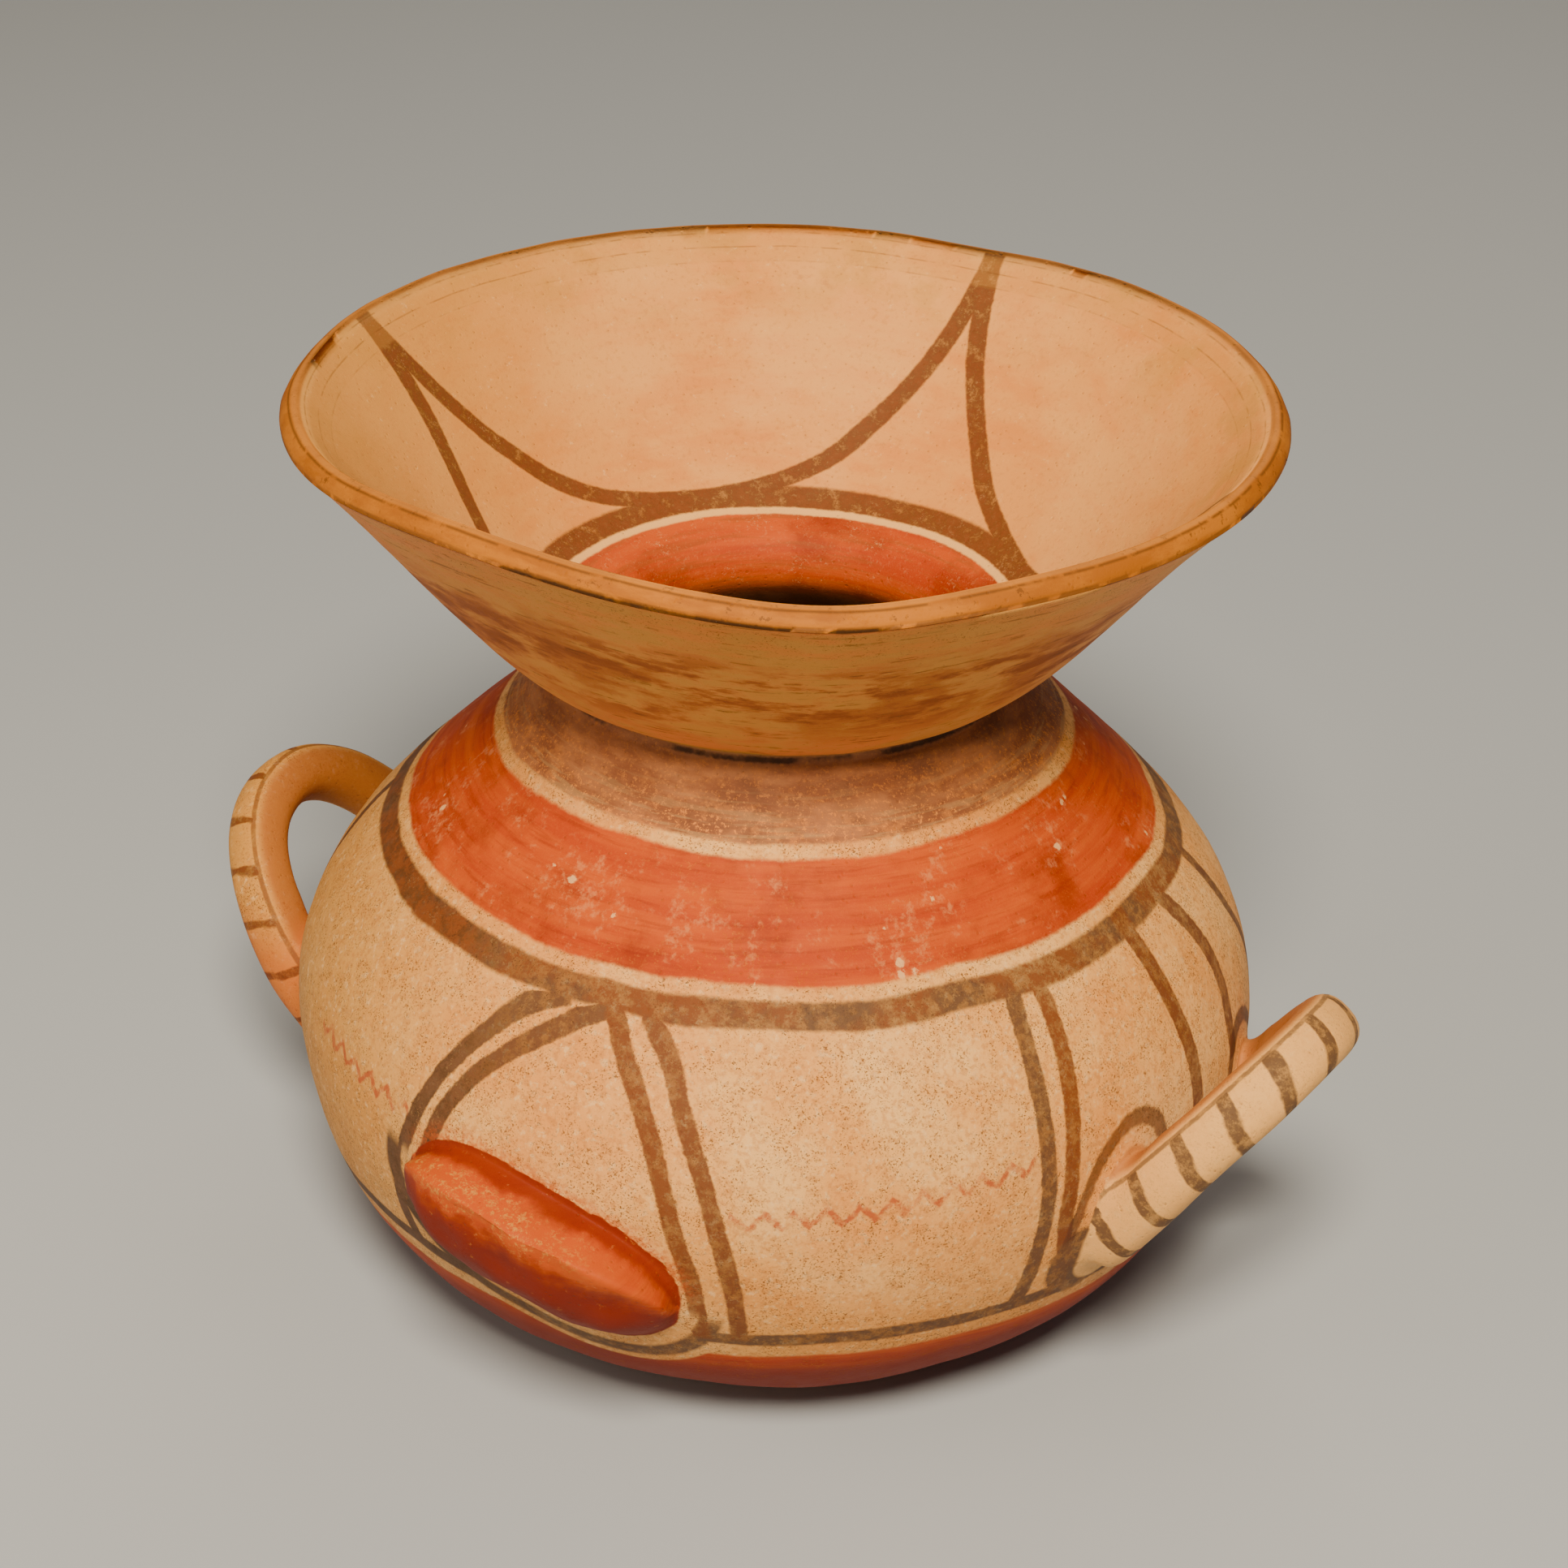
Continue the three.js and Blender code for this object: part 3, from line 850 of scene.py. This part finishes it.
def zigzag_paint(n, m):
    """Depth within a zigzag's thin line."""
    depths = []
    for first, last, start, slope in ZIGZAGS:
        pace = n.plus(m.turn, n.times(n.minus(m.medium, 0.5), ZIGZAG_UNEVENNESS))
        wave = n.minus(n.math("PINGPONG", pace, ZIGZAG_PITCH / 2), ZIGZAG_PITCH / 4)
        line = n.plus(start, n.times(m.turn, slope), n.times(wave, 4 * ZIGZAG_SWING / ZIGZAG_PITCH))
        line = n.plus(line, n.times(n.minus(m.cloud, 0.5), ZIGZAG_DRIFT))
        away = n.times(n.size(n.minus(m.z, line)), ZIGZAG_STEEPNESS)
        ends = n.times(n.least(n.minus(m.turn, first), n.minus(last, m.turn)), BELLY_DEGREE)
        depths.append(n.least(n.minus(ZIGZAG_HALF_WIDTH, away), ends))
    return n.most(*depths)


def star_paint(n, m):
    """Distance to the star's edge, above zero outside the star."""
    edges = []
    for azimuth in STAR_TIPS:
        along, across = math.cos(math.radians(azimuth)), math.sin(math.radians(azimuth))
        reach = n.plus(n.times(m.x, along), n.times(m.y, across))
        aside = n.size(n.minus(n.times(m.y, along), n.times(m.x, across)))
        share = n.math("DIVIDE", reach, STAR_REACH)
        half = n.curve(share, [(a / STAR_REACH, b / STAR_REACH) for a, b in STAR_EDGE])
        distance = n.times(n.minus(aside, n.times(half, STAR_REACH)), STAR_LEAN)
        edges.append(n.most(distance, n.times(n.minus(STAR_EDGE[0][0] + 1, reach), 3.0)))
    return n.least(*edges)


class Measures:
    """Coordinates in millimetres, the surface's facts and noise at several scales, as sockets."""

    def __init__(self, n):
        inputs = ((0, n.add("ShaderNodeTexCoord").outputs["Object"]), ("Scale", 1 / MM))
        self.mm = n.add("ShaderNodeVectorMath", inputs, operation="SCALE").outputs[0]
        self.x, self.y, self.z = n.add("ShaderNodeSeparateXYZ", [(0, self.mm)]).outputs
        for name in FACTS:
            setattr(self, name, n.attribute(name))
        self.radius = n.math("SQRT", n.plus(n.times(self.x, self.x), n.times(self.y, self.y)))
        azimuth = n.times(n.math("ARCTAN2", self.y, self.x), 180 / math.pi)
        self.turn = n.math("WRAP", azimuth, HALF_START + 180, HALF_START)
        self.picture_right = n.plus(n.times(self.x, CAMERA_RIGHT[0]), n.times(self.y, CAMERA_RIGHT[1]))

        self.broad = n.noise(self.mm, 0.018, 4)
        self.cloud = n.noise(self.mm, 0.05, 5, 0.6)
        self.medium = n.noise(self.mm, 0.22, 4, 0.6)
        self.fine = n.noise(self.mm, 0.9, 4, 0.65)
        self.grain = n.noise(self.mm, 2.4, 3, 0.7)
        self.blotch = n.noise(self.mm, 0.34, 5, 0.72)
        self.pits = n.cells(self.mm, 0.5)
        self.spots = n.cells(self.mm, 0.17)
        flat = n.vector(n.times(self.x, 0.05), n.times(self.y, 0.05), n.times(self.level, 0.9))
        self.streak = n.noise(flat, 0.42, 5, 0.62)
        self.fine_streak = n.noise(flat, 1.3, 4, 0.6)
        smear = n.vector(n.times(self.x, 0.14), n.times(self.y, 0.14), n.times(self.level, 0.5))
        self.smear = n.noise(smear, 0.40, 6, 0.66)

        self.wobble = n.times(n.minus(n.noise(self.mm, 0.045, 2), 0.5), 2.2)
        self.ragged = n.times(n.minus(n.noise(self.mm, 0.55, 4, 0.7), 0.5), 1.5)
        self.brush = n.plus(n.times(self.ragged, 0.8), n.times(self.wobble, 0.3))
        self.line = n.plus(self.z, self.wobble, n.times(self.ragged, 0.45))

        # Slip rubbed off in specks and patches
        self.specks = n.step(n.plus(n.times(self.grain, 0.5), n.times(self.fine, 0.5)), 0.525, 0.60)
        patches = n.step(n.noise(self.mm, 0.11, 5, 0.68), 0.50, 0.62)
        self.worn = n.times(self.specks, n.plus(0.22, n.times(patches, 0.75)))
        self.chalk = n.noise(self.mm, 0.085, 6, 0.7)


def cream_slip(n, m):
    """Cream slip over sandy clay, mottled and speckled; more ochre low down and to the picture's left,
    partly its own tone and partly painted shade.
    """
    coat = n.mix(n.step(m.cloud, 0.36, 0.66), CREAM, CREAM_PALE)
    coat = n.paint(coat, (CREAM_WARM, n.step(m.broad, 0.46, 0.62), 0.5))
    # Ochre low down and to the picture's left: partly the slip's own tone, partly painted shade
    low = n.step(n.plus(m.z, n.times(m.cloud, 30)), 76, 44)
    aside = n.step(m.picture_right, -48, -95)
    coat = n.mix(n.most(n.times(low, 0.25), n.times(aside, 0.8)), coat, OCHRE)
    sand = n.step(n.plus(n.times(m.fine, 0.7), n.times(m.blotch, 0.3)), 0.47, 0.60)
    pale = n.step(n.noise(m.mm, 0.6, 5, 0.8), 0.54, 0.62)
    dots = n.times(n.step(m.grain, 0.55, 0.61), n.step(m.medium, 0.38, 0.56))
    return n.paint(coat, (SAND, sand, 0.46), (CHALK, pale, 0.6), (OCHRE_DEEP, dots, 0.85))


def red_slip(n, m):
    """Brushed red slip with darker clouds and streaks."""
    coat = n.mix(n.step(m.streak, 0.36, 0.66), RED, RED_LIGHT)
    return n.paint(
        coat, (RED_DEEP, n.step(m.cloud, 0.46, 0.68), 0.65),
        (RED_DEEP, n.step(m.fine_streak, 0.52, 0.68), 0.35), (RED_LIGHT, n.step(m.grain, 0.54, 0.70), 0.35),
    )


def brown_slip(n, m, redness):
    """Thin brown slip in two tones, with the cream showing through in specks."""
    coat = n.mix(redness, BROWN_GREY, BROWN_RED)
    dark = n.step(n.plus(m.blotch, n.times(m.grain, 0.4)), 0.60, 0.84)
    return n.paint(coat, (BROWN_DEEP, dark, 0.65), (GREY_WEAR, m.worn, 0.4))


def body_bands(n, m, cream, red):
    """Brown neck, cream lines and red band about the shoulder, with chalky patches and spots."""
    neck = n.mix(n.step(m.smear, 0.38, 0.60), NECK_BROWN, NECK_DARK)
    neck = n.paint(neck, (BROWN_GREY, n.step(m.cloud, 0.48, 0.68), 0.45))
    neck_low = n.step(m.line, CREAM_LINE_TOP + 11, CREAM_LINE_TOP - 1)
    rubbed = n.times(n.step(m.blotch, 0.50, 0.64), n.plus(0.1, n.times(neck_low, 0.3)))
    neck = n.mix(rubbed, neck, CREAM_WARM)
    neck = n.mix(n.times(m.specks, n.plus(0.3, n.times(neck_low, 0.65))), neck, CREAM_WARM)
    scratched = n.times(n.step(m.fine_streak, 0.50, 0.62), neck_low)
    neck = n.paint(neck, (GREY_WEAR, scratched, 0.5))

    crusts = n.step(n.plus(n.times(m.fine, 0.6), m.blotch), 0.76, 1.00)
    chalky = n.times(n.step(m.chalk, 0.50, 0.64), crusts)
    band = n.paint(red, (CHALKY_RED, chalky, 0.6))
    spot_size = n.times(n.step(m.chalk, 0.48, 0.66), 0.17)
    from_spot = n.plus(m.spots, n.times(n.minus(m.fine, 0.5), 0.25))
    spots = n.times(n.step(n.minus(from_spot, spot_size), 0.03, -0.03), n.step(m.chalk, 0.46, 0.54))
    band = n.paint(band, (CHALK, spots, 0.65), (CREAM_WARM, m.worn, 0.25))

    outside = n.mix(n.past(m.line, CREAM_LINE_TOP, BAND_SOFTNESS), cream, neck)
    return n.mix(n.within(m.line, RED_BAND_LOW, CREAM_LINE_LOW), outside, band)


def body_lines(n, m, outside):
    """Brown lines about the shoulder and the base, the strokes between them and the thin zigzags."""
    below_lug = n.step(m.lug_climb, 0.2, -0.1)
    beside_lug = n.times(n.within(m.lug, *LUG_LINE, 0.5), below_lug)
    shoulder_line = n.within(m.line, DARK_LINE_LOW, DARK_LINE_TOP)
    base_line = n.times(n.within(m.line, BASE_LINE_LOW, BASE_LINE_TOP), n.step(m.lug, *LUG_LINE_GAP))
    depth, redness = stroke_paint(n, m)
    run = n.math("DIVIDE", n.minus(m.turn, SMUDGE_AZIMUTH), SMUDGE_RUN)
    rise = n.math("DIVIDE", n.minus(m.z, SMUDGE_HEIGHT), SMUDGE_RISE)
    smudge = n.math("SQRT", n.plus(n.times(run, run), n.times(rise, rise)))
    smudge = n.step(n.plus(smudge, n.times(m.ragged, 0.2)), 1.05, 0.9)
    lines = n.most(shoulder_line, base_line, beside_lug, smudge, n.past(depth, 0, 0.3))
    redness = n.minus(redness, n.times(redness, smudge, 0.8))
    line_red = n.most(redness, n.times(n.step(m.cloud, 0.42, 0.56), shoulder_line))
    cover = n.step(n.plus(n.times(m.blotch, 0.9), n.times(m.grain, 0.25)), 0.70, 0.50)
    cover = n.most(cover, n.step(m.picture_right, -35, -65))
    lines = n.times(lines, n.plus(0.64, n.times(cover, 0.28)))
    outside = n.mix(lines, outside, brown_slip(n, m, line_red))

    faded = n.step(n.plus(m.blotch, n.times(m.cloud, 0.6)), 0.98, 0.70)
    zigzag = n.times(n.step(n.plus(zigzag_paint(n, m), n.times(m.ragged, 0.25)), -0.25, 0.3), faded)
    return n.paint(outside, (FAINT_RED, zigzag, 0.9))


def lug_coat(n, m, red):
    """Red slip with painted shade in the hollow and under the crest, a painted highlight along the crest,
    and rubbed pale patches on it.
    """
    across = n.plus(m.lug_across, n.times(n.minus(m.medium, 0.5), 0.4))
    # The band along the crest carries a painted highlight, and the rubbed patches keep to it
    crest = n.times(n.step(across, -0.22, 0.0), n.step(across, 0.62, 0.34), n.step(m.lug_run, 0.85, 0.45))
    # Painted shade: deep red under the crest, on the lug's lower face
    coat = n.paint(red, (RED_DEEP, n.step(across, -0.04, -0.34), 0.95))
    worn_end = n.step(m.lug_run, 0.65, 0.0)
    rubbed = n.step(n.plus(n.times(m.fine, 0.9), n.times(m.grain, 0.7)), 0.76, 0.94)
    patchy = n.times(n.step(m.blotch, 0.42, 0.56), worn_end)
    scuffs = n.times(n.step(m.blotch, 0.60, 0.66), n.step(m.fine, 0.44, 0.60))
    # Painted shade: deep red in the hollow above the crest. Painted highlight: light red along the crest.
    # The ochre patches and cream scuffs are rubbed wear
    return n.paint(
        coat, (RED_DEEP, n.step(across, 0.40, 0.72), 0.85), (RED_LIGHT, crest, 0.8),
        (OCHRE, n.times(crest, rubbed, patchy), 0.8), (CREAM_WARM, scuffs, 0.35),
    )


def handle_coat(n, m, cream):
    """Cream with brown stripes across the outer side, a line along its edge and, left, a red root. The
    inner face carries painted shade, and the right handle's cream is painted paler as painted light.
    """
    on_left, on_right = n.step(m.x, 1, -1), n.step(m.x, -1, 1)
    pace = n.plus(m.handle_run, n.times(m.wobble, 1.2), n.times(m.handle_rise, 0.25))
    pace = n.math("PINGPONG", pace, STRIPE_PITCH / 2)
    left, right = STRIPE_HALF_WIDTH
    half_width = n.plus(n.times(on_right, right - left), left)
    stripe = n.past(n.plus(pace, n.times(m.ragged, 0.5), half_width), STRIPE_PITCH / 2, 0.3)
    from_edge = n.minus(m.handle_rise, m.handle_outward)
    stripe = n.times(stripe, n.step(from_edge, 0.4, -0.4), n.step(m.handle_outward, -3.0, -1.0))
    line = n.size(n.plus(from_edge, n.times(m.ragged, 0.6)))
    line = n.times(n.past(line, EDGE_LINE_HALF_WIDTH, -0.3), n.step(m.handle_rise, 0.0, 2.0))
    # Painted light: the right handle's cream is painted paler
    coat = n.paint(cream, (CREAM_PALE, on_right, 0.65))
    clouds = n.times(n.step(m.cloud, 0.40, 0.60), n.plus(0.2, n.times(on_left, 0.5)))
    left_root = n.times(on_left, n.step(m.z, 66, 52))
    coat = n.mix(clouds, coat, OCHRE)
    # Painted shade: umber over the strap's inner face, away from the edge line. The left root's red is its
    # own colour
    coat = n.paint(coat, (UMBER, n.step(from_edge, 0.5, 4.0), 0.75), (RED_LIGHT, left_root, 0.6))
    cover = n.step(n.plus(m.blotch, n.times(m.grain, 0.25)), 0.80, 0.56)
    marks = n.times(n.most(stripe, n.times(line, 0.8)), n.plus(0.5, n.times(cover, 0.4)))
    return n.mix(marks, coat, brown_slip(n, m, on_left))


def body_outside(n, m):
    """All that is painted below the throat: body, base, lugs and handles."""
    cream, red = cream_slip(n, m), red_slip(n, m)
    outside = body_lines(n, m, body_bands(n, m, cream, red))

    base = n.times(n.past(m.line, BASE_RED_TOP, -0.6), n.step(m.lug, *LUG_BASE_GAP))
    # Painted shade: the base red darkens towards the bottom
    base_red = n.paint(red, (RED_DEEP, n.step(m.line, BASE_RED_TOP + 2, BASE_RED_TOP - 9), 0.95))
    outside = n.mix(base, outside, n.paint(base_red, (SAND, m.worn, 0.5)))
    under = n.mix(n.step(m.cloud, 0.4, 0.7), OCHRE, CREAM_WARM)
    outside = n.mix(n.step(m.z, *FOOT_TOP), outside, under)

    lug_depth = n.plus(m.lug, n.times(m.ragged, 0.5))
    halo = n.times(n.within(lug_depth, *LUG_HALO, 0.3), n.step(m.lug_climb, 0.2, -0.1))
    outside = n.mix(halo, outside, cream)
    blush = n.times(n.step(m.lug, *LUG_BLUSH), n.step(m.lug_climb, 0.1, 0.6), n.step(m.fine, 0.38, 0.56))
    outside = n.paint(outside, (RED_LIGHT, blush, 0.6))
    outside = n.mix(n.step(lug_depth, -0.8, 0.0), outside, lug_coat(n, m, red))

    root = n.within(n.plus(m.handle, n.times(m.ragged, 0.9)), *ROOT_RING)
    root = n.times(root, n.step(m.z, *ROOT_RING_LOW))
    outside = n.paint(outside, (brown_slip(n, m, 0.5), root, 0.8))
    return n.mix(n.step(m.handle, *STRAP_EDGE), outside, handle_coat(n, m, cream))


def mouth_outside(n, m):
    """Burnished ochre clay, paler to the picture's right, with brown clouds, smears and scratches."""
    coat = n.mix(n.step(m.smear, 0.40, 0.62), OCHRE, CREAM_WARM)
    middle = n.times(n.step(m.from_lip, 14, 30), n.step(m.from_lip, 62, 40))
    left, right = n.step(m.picture_right, -15, -75), n.step(m.picture_right, 0, 80)
    coat = n.paint(coat, (CREAM_WARM, left, 0.35), (CREAM, right, 0.5))
    clouds = n.step(n.plus(m.smear, n.times(m.cloud, 0.8)), 0.80, 0.98)
    coat = n.mix(n.times(clouds, n.plus(0.12, n.times(middle, 0.6))), coat, UMBER)
    dark_run = n.times(n.step(m.fine_streak, 0.55, 0.66), n.step(m.medium, 0.42, 0.58))
    near_lip = n.step(m.from_lip, 26, 4)
    dots = n.times(n.step(n.plus(m.grain, n.times(m.blotch, 0.4)), 0.79, 0.86), near_lip)
    return n.paint(
        coat, (BROWN_RED, n.times(middle, n.step(m.smear, 0.48, 0.60)), 0.55), (OCHRE_DEEP, dark_run, 0.6),
        (OCHRE_DEEP, dots, 0.8), (CREAM, m.worn, 0.22),
    )


def mouth_inside(n, m):
    """Cream flare, the star's brown lines, the rings about the red throat, and bare clay below it, darkened
    as painted shade.
    """
    tan = n.mix(n.plus(0.2, n.times(n.step(m.smear, 0.42, 0.64), 0.6)), CREAM, CREAM_WARM)
    smoky = n.times(n.step(m.from_lip, 28, 6), n.step(m.cloud, 0.48, 0.62))
    soot = n.times(n.step(m.from_lip, 22, 8), n.step(m.chalk, 0.60, 0.70))
    tan = n.paint(
        tan, (CREAM_PALE, n.step(m.broad, 0.46, 0.60), 0.35),
        (OCHRE, n.step(m.picture_right, -25, -90), 0.7), (OCHRE, smoky, 0.65), (UMBER, soot, 0.45),
        (SAND, n.step(m.fine, 0.52, 0.66), 0.22),
        (CHALK, n.step(n.noise(m.mm, 0.5, 5, 0.78), 0.60, 0.68), 0.4),
    )

    ring_place = n.plus(m.radius, n.times(m.ragged, 0.45))
    star = n.plus(n.size(star_paint(n, m)), n.times(m.ragged, 0.45))
    brown = n.most(n.past(star, STAR_HALF_WIDTH, -0.3), n.past(ring_place, BROWN_RING, -0.4))
    cover = n.step(n.plus(m.blotch, n.times(m.grain, 0.25)), 0.84, 0.62)
    inside = n.mix(n.times(brown, n.plus(0.56, n.times(cover, 0.34))), tan, brown_slip(n, m, 0.85))
    inside = n.mix(n.past(ring_place, CREAM_RING, -0.3), inside, CREAM_PALE)
    dark_run = n.step(m.fine_streak, 0.48, 0.62)
    throat = n.paint(red_slip(n, m), (UMBER, dark_run, 0.35), (CHALK, m.worn, 0.3))
    inside = n.mix(n.past(ring_place, RED_RING, -0.3), inside, throat)
    # Bare clay below the throat, darkened as painted shade of the deep inside
    bare = n.mix(n.step(m.cloud, 0.40, 0.62), CLAY_BARE_AND_SHADED, CLAY_BARE_DARK_AND_SHADED)
    bare = n.paint(bare, (CLAY_BARE_DARK_AND_SHADED, n.step(m.fine, 0.50, 0.64), 0.4))
    return n.mix(n.step(m.z, THROAT_HEIGHT - 1, THROAT_HEIGHT - 9), inside, bare)


def lip_marks(n, m, colour):
    """A band on the lip between two thin dark lines, with brown ticks, and faint rings on the bevel."""
    edge = n.plus(m.across_lip, n.times(m.wobble, 0.3))
    band = n.mix(n.step(m.smear, 0.40, 0.62), LIP_OCHRE, LIP_LIGHT)
    edges = n.most(*(n.within(edge, low, high, 0.25) for low, high in LIP_LINES))
    edges = n.times(edges, n.step(m.medium, 0.34, 0.50))
    band = n.paint(
        band, (OCHRE_DEEP, n.step(m.blotch, 0.60, 0.65), 0.7), (CREAM, n.step(edge, *LIP_INNER_PART), 0.2),
        (OCHRE_DEEP, edges, 0.8),
    )
    bevel = n.times(n.within(m.from_lip, *BEVEL, 0.5), m.inside)
    pace = n.math("PINGPONG", n.plus(m.from_lip, n.times(m.wobble, 0.3)), BEVEL_RING_PITCH)
    rings = n.times(bevel, n.step(pace, BEVEL_RING_PITCH - 0.3, BEVEL_RING_PITCH))
    rings = n.times(rings, n.step(m.medium, 0.38, 0.6))
    colour = n.paint(colour, (OCHRE, bevel, 0.25), (OCHRE_DEEP, rings, 0.45))
    return n.mix(n.step(m.from_lip, 1.0, 0.3), colour, band)


def painted_clay():
    """The pot's material: paint, wear, roughness and fine relief."""
    material = bpy.data.materials.new("painted_clay")
    material.use_nodes = True
    n = Nodes(material)
    m = Measures(n)
    above_throat = n.past(m.z, THROAT_HEIGHT, BAND_SOFTNESS)
    outside = n.mix(above_throat, body_outside(n, m), mouth_outside(n, m))
    # Dark line along the crease where the throat is narrowest, broken in places
    low, high = (THROAT_HEIGHT + reach for reach in THROAT_CREASE_LINE)
    crease_line = n.within(n.plus(m.z, n.times(m.ragged, 0.5)), low, high, 0.25)
    crease_line = n.times(crease_line, n.step(m.cloud, 0.44, 0.54))
    outside = n.paint(outside, (BROWN_DEEP, crease_line, 0.85))
    colour = lip_marks(n, m, n.mix(m.inside, outside, mouth_inside(n, m)))
    colour = n.paint(colour, (OCHRE_DEEP, n.step(m.pits, 0.13, 0.05), 0.4))

    # Burnished but weathered: the roughness and the fine relief follow the wear
    rough = n.plus(ROUGHNESS, n.times(m.medium, 0.2), n.times(m.worn, 0.2))
    relief = ((m.fine, 0.35), (m.grain, 0.3), (n.step(m.pits, 0.10, 0.22), 0.35), (m.streak, 0.3),
              (m.worn, -0.25))
    relief = n.plus(*(n.times(part, share) for part, share in relief))
    inputs = (("Strength", RELIEF_STRENGTH), ("Distance", RELIEF_DEPTH * MM), ("Height", relief))
    bump = n.add("ShaderNodeBump", inputs)
    inputs = (("Base Color", colour), ("Roughness", rough), ("Normal", bump.outputs[0]),
              ("Specular IOR Level", SHEEN))
    shader = n.add("ShaderNodeBsdfPrincipled", inputs)
    n.add("ShaderNodeOutputMaterial", [("Surface", shader.outputs[0])])
    return material


def place_camera():
    data = bpy.data.cameras.new("camera")
    data.lens = CAMERA_LENS
    data.sensor_width = SENSOR
    data.clip_start, data.clip_end = CAMERA_CLIP_M
    camera = linked("camera", data)
    right, up = Vector(CAMERA_RIGHT), Vector(CAMERA_UP)
    back = right.cross(up)
    rotation = Matrix((right, up, back)).transposed().to_4x4()
    camera.matrix_world = Matrix.Translation(Vector(CAMERA_PLACE) * MM) @ rotation
    bpy.context.scene.camera = camera


def plain_material(name, colour, roughness):
    material = bpy.data.materials.new(name)
    material.use_nodes = True
    shader = material.node_tree.nodes["Principled BSDF"]
    shader.inputs["Base Color"].default_value = (*colour, 1)
    shader.inputs["Roughness"].default_value = roughness
    return material


def floor_piece():
    corners = [(x * FLOOR_HALF, y * FLOOR_HALF, 0) for x, y in ((-1, -1), (1, -1), (1, 1), (-1, 1))]
    floor = mesh_object("floor", corners, [(0, 1, 2, 3)])
    floor.data.materials.append(plain_material("pale_floor", FLOOR_COLOUR, FLOOR_ROUGHNESS))
    return floor


def soft_light(name, place, size, power, colour):
    data = bpy.data.lights.new(name, "AREA")
    data.shape = "DISK"
    data.size = size
    data.energy = power
    data.color = colour
    lamp = linked(name, data)
    lamp.location = place
    lamp.rotation_euler = (Vector(LAMP_TARGET) - Vector(place)).to_track_quat("-Z", "Y").to_euler()


def light_scene():
    """One broad lamp above the camera, weaker ones from its left and from behind, and a pale surround."""
    for name, lamp in LAMPS.items():
        soft_light(name, *lamp)
    world = bpy.data.worlds.new("surround")
    bpy.context.scene.world = world
    world.use_nodes = True
    background = world.node_tree.nodes["Background"]
    background.inputs["Color"].default_value = SURROUND_COLOUR
    background.inputs["Strength"].default_value = SURROUND_STRENGTH


place_camera()
pot = build_pot()
pot.data.materials.clear()
pot.data.materials.append(painted_clay())
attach(pot, "root")
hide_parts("pot")
floor = floor_piece()
light_scene()
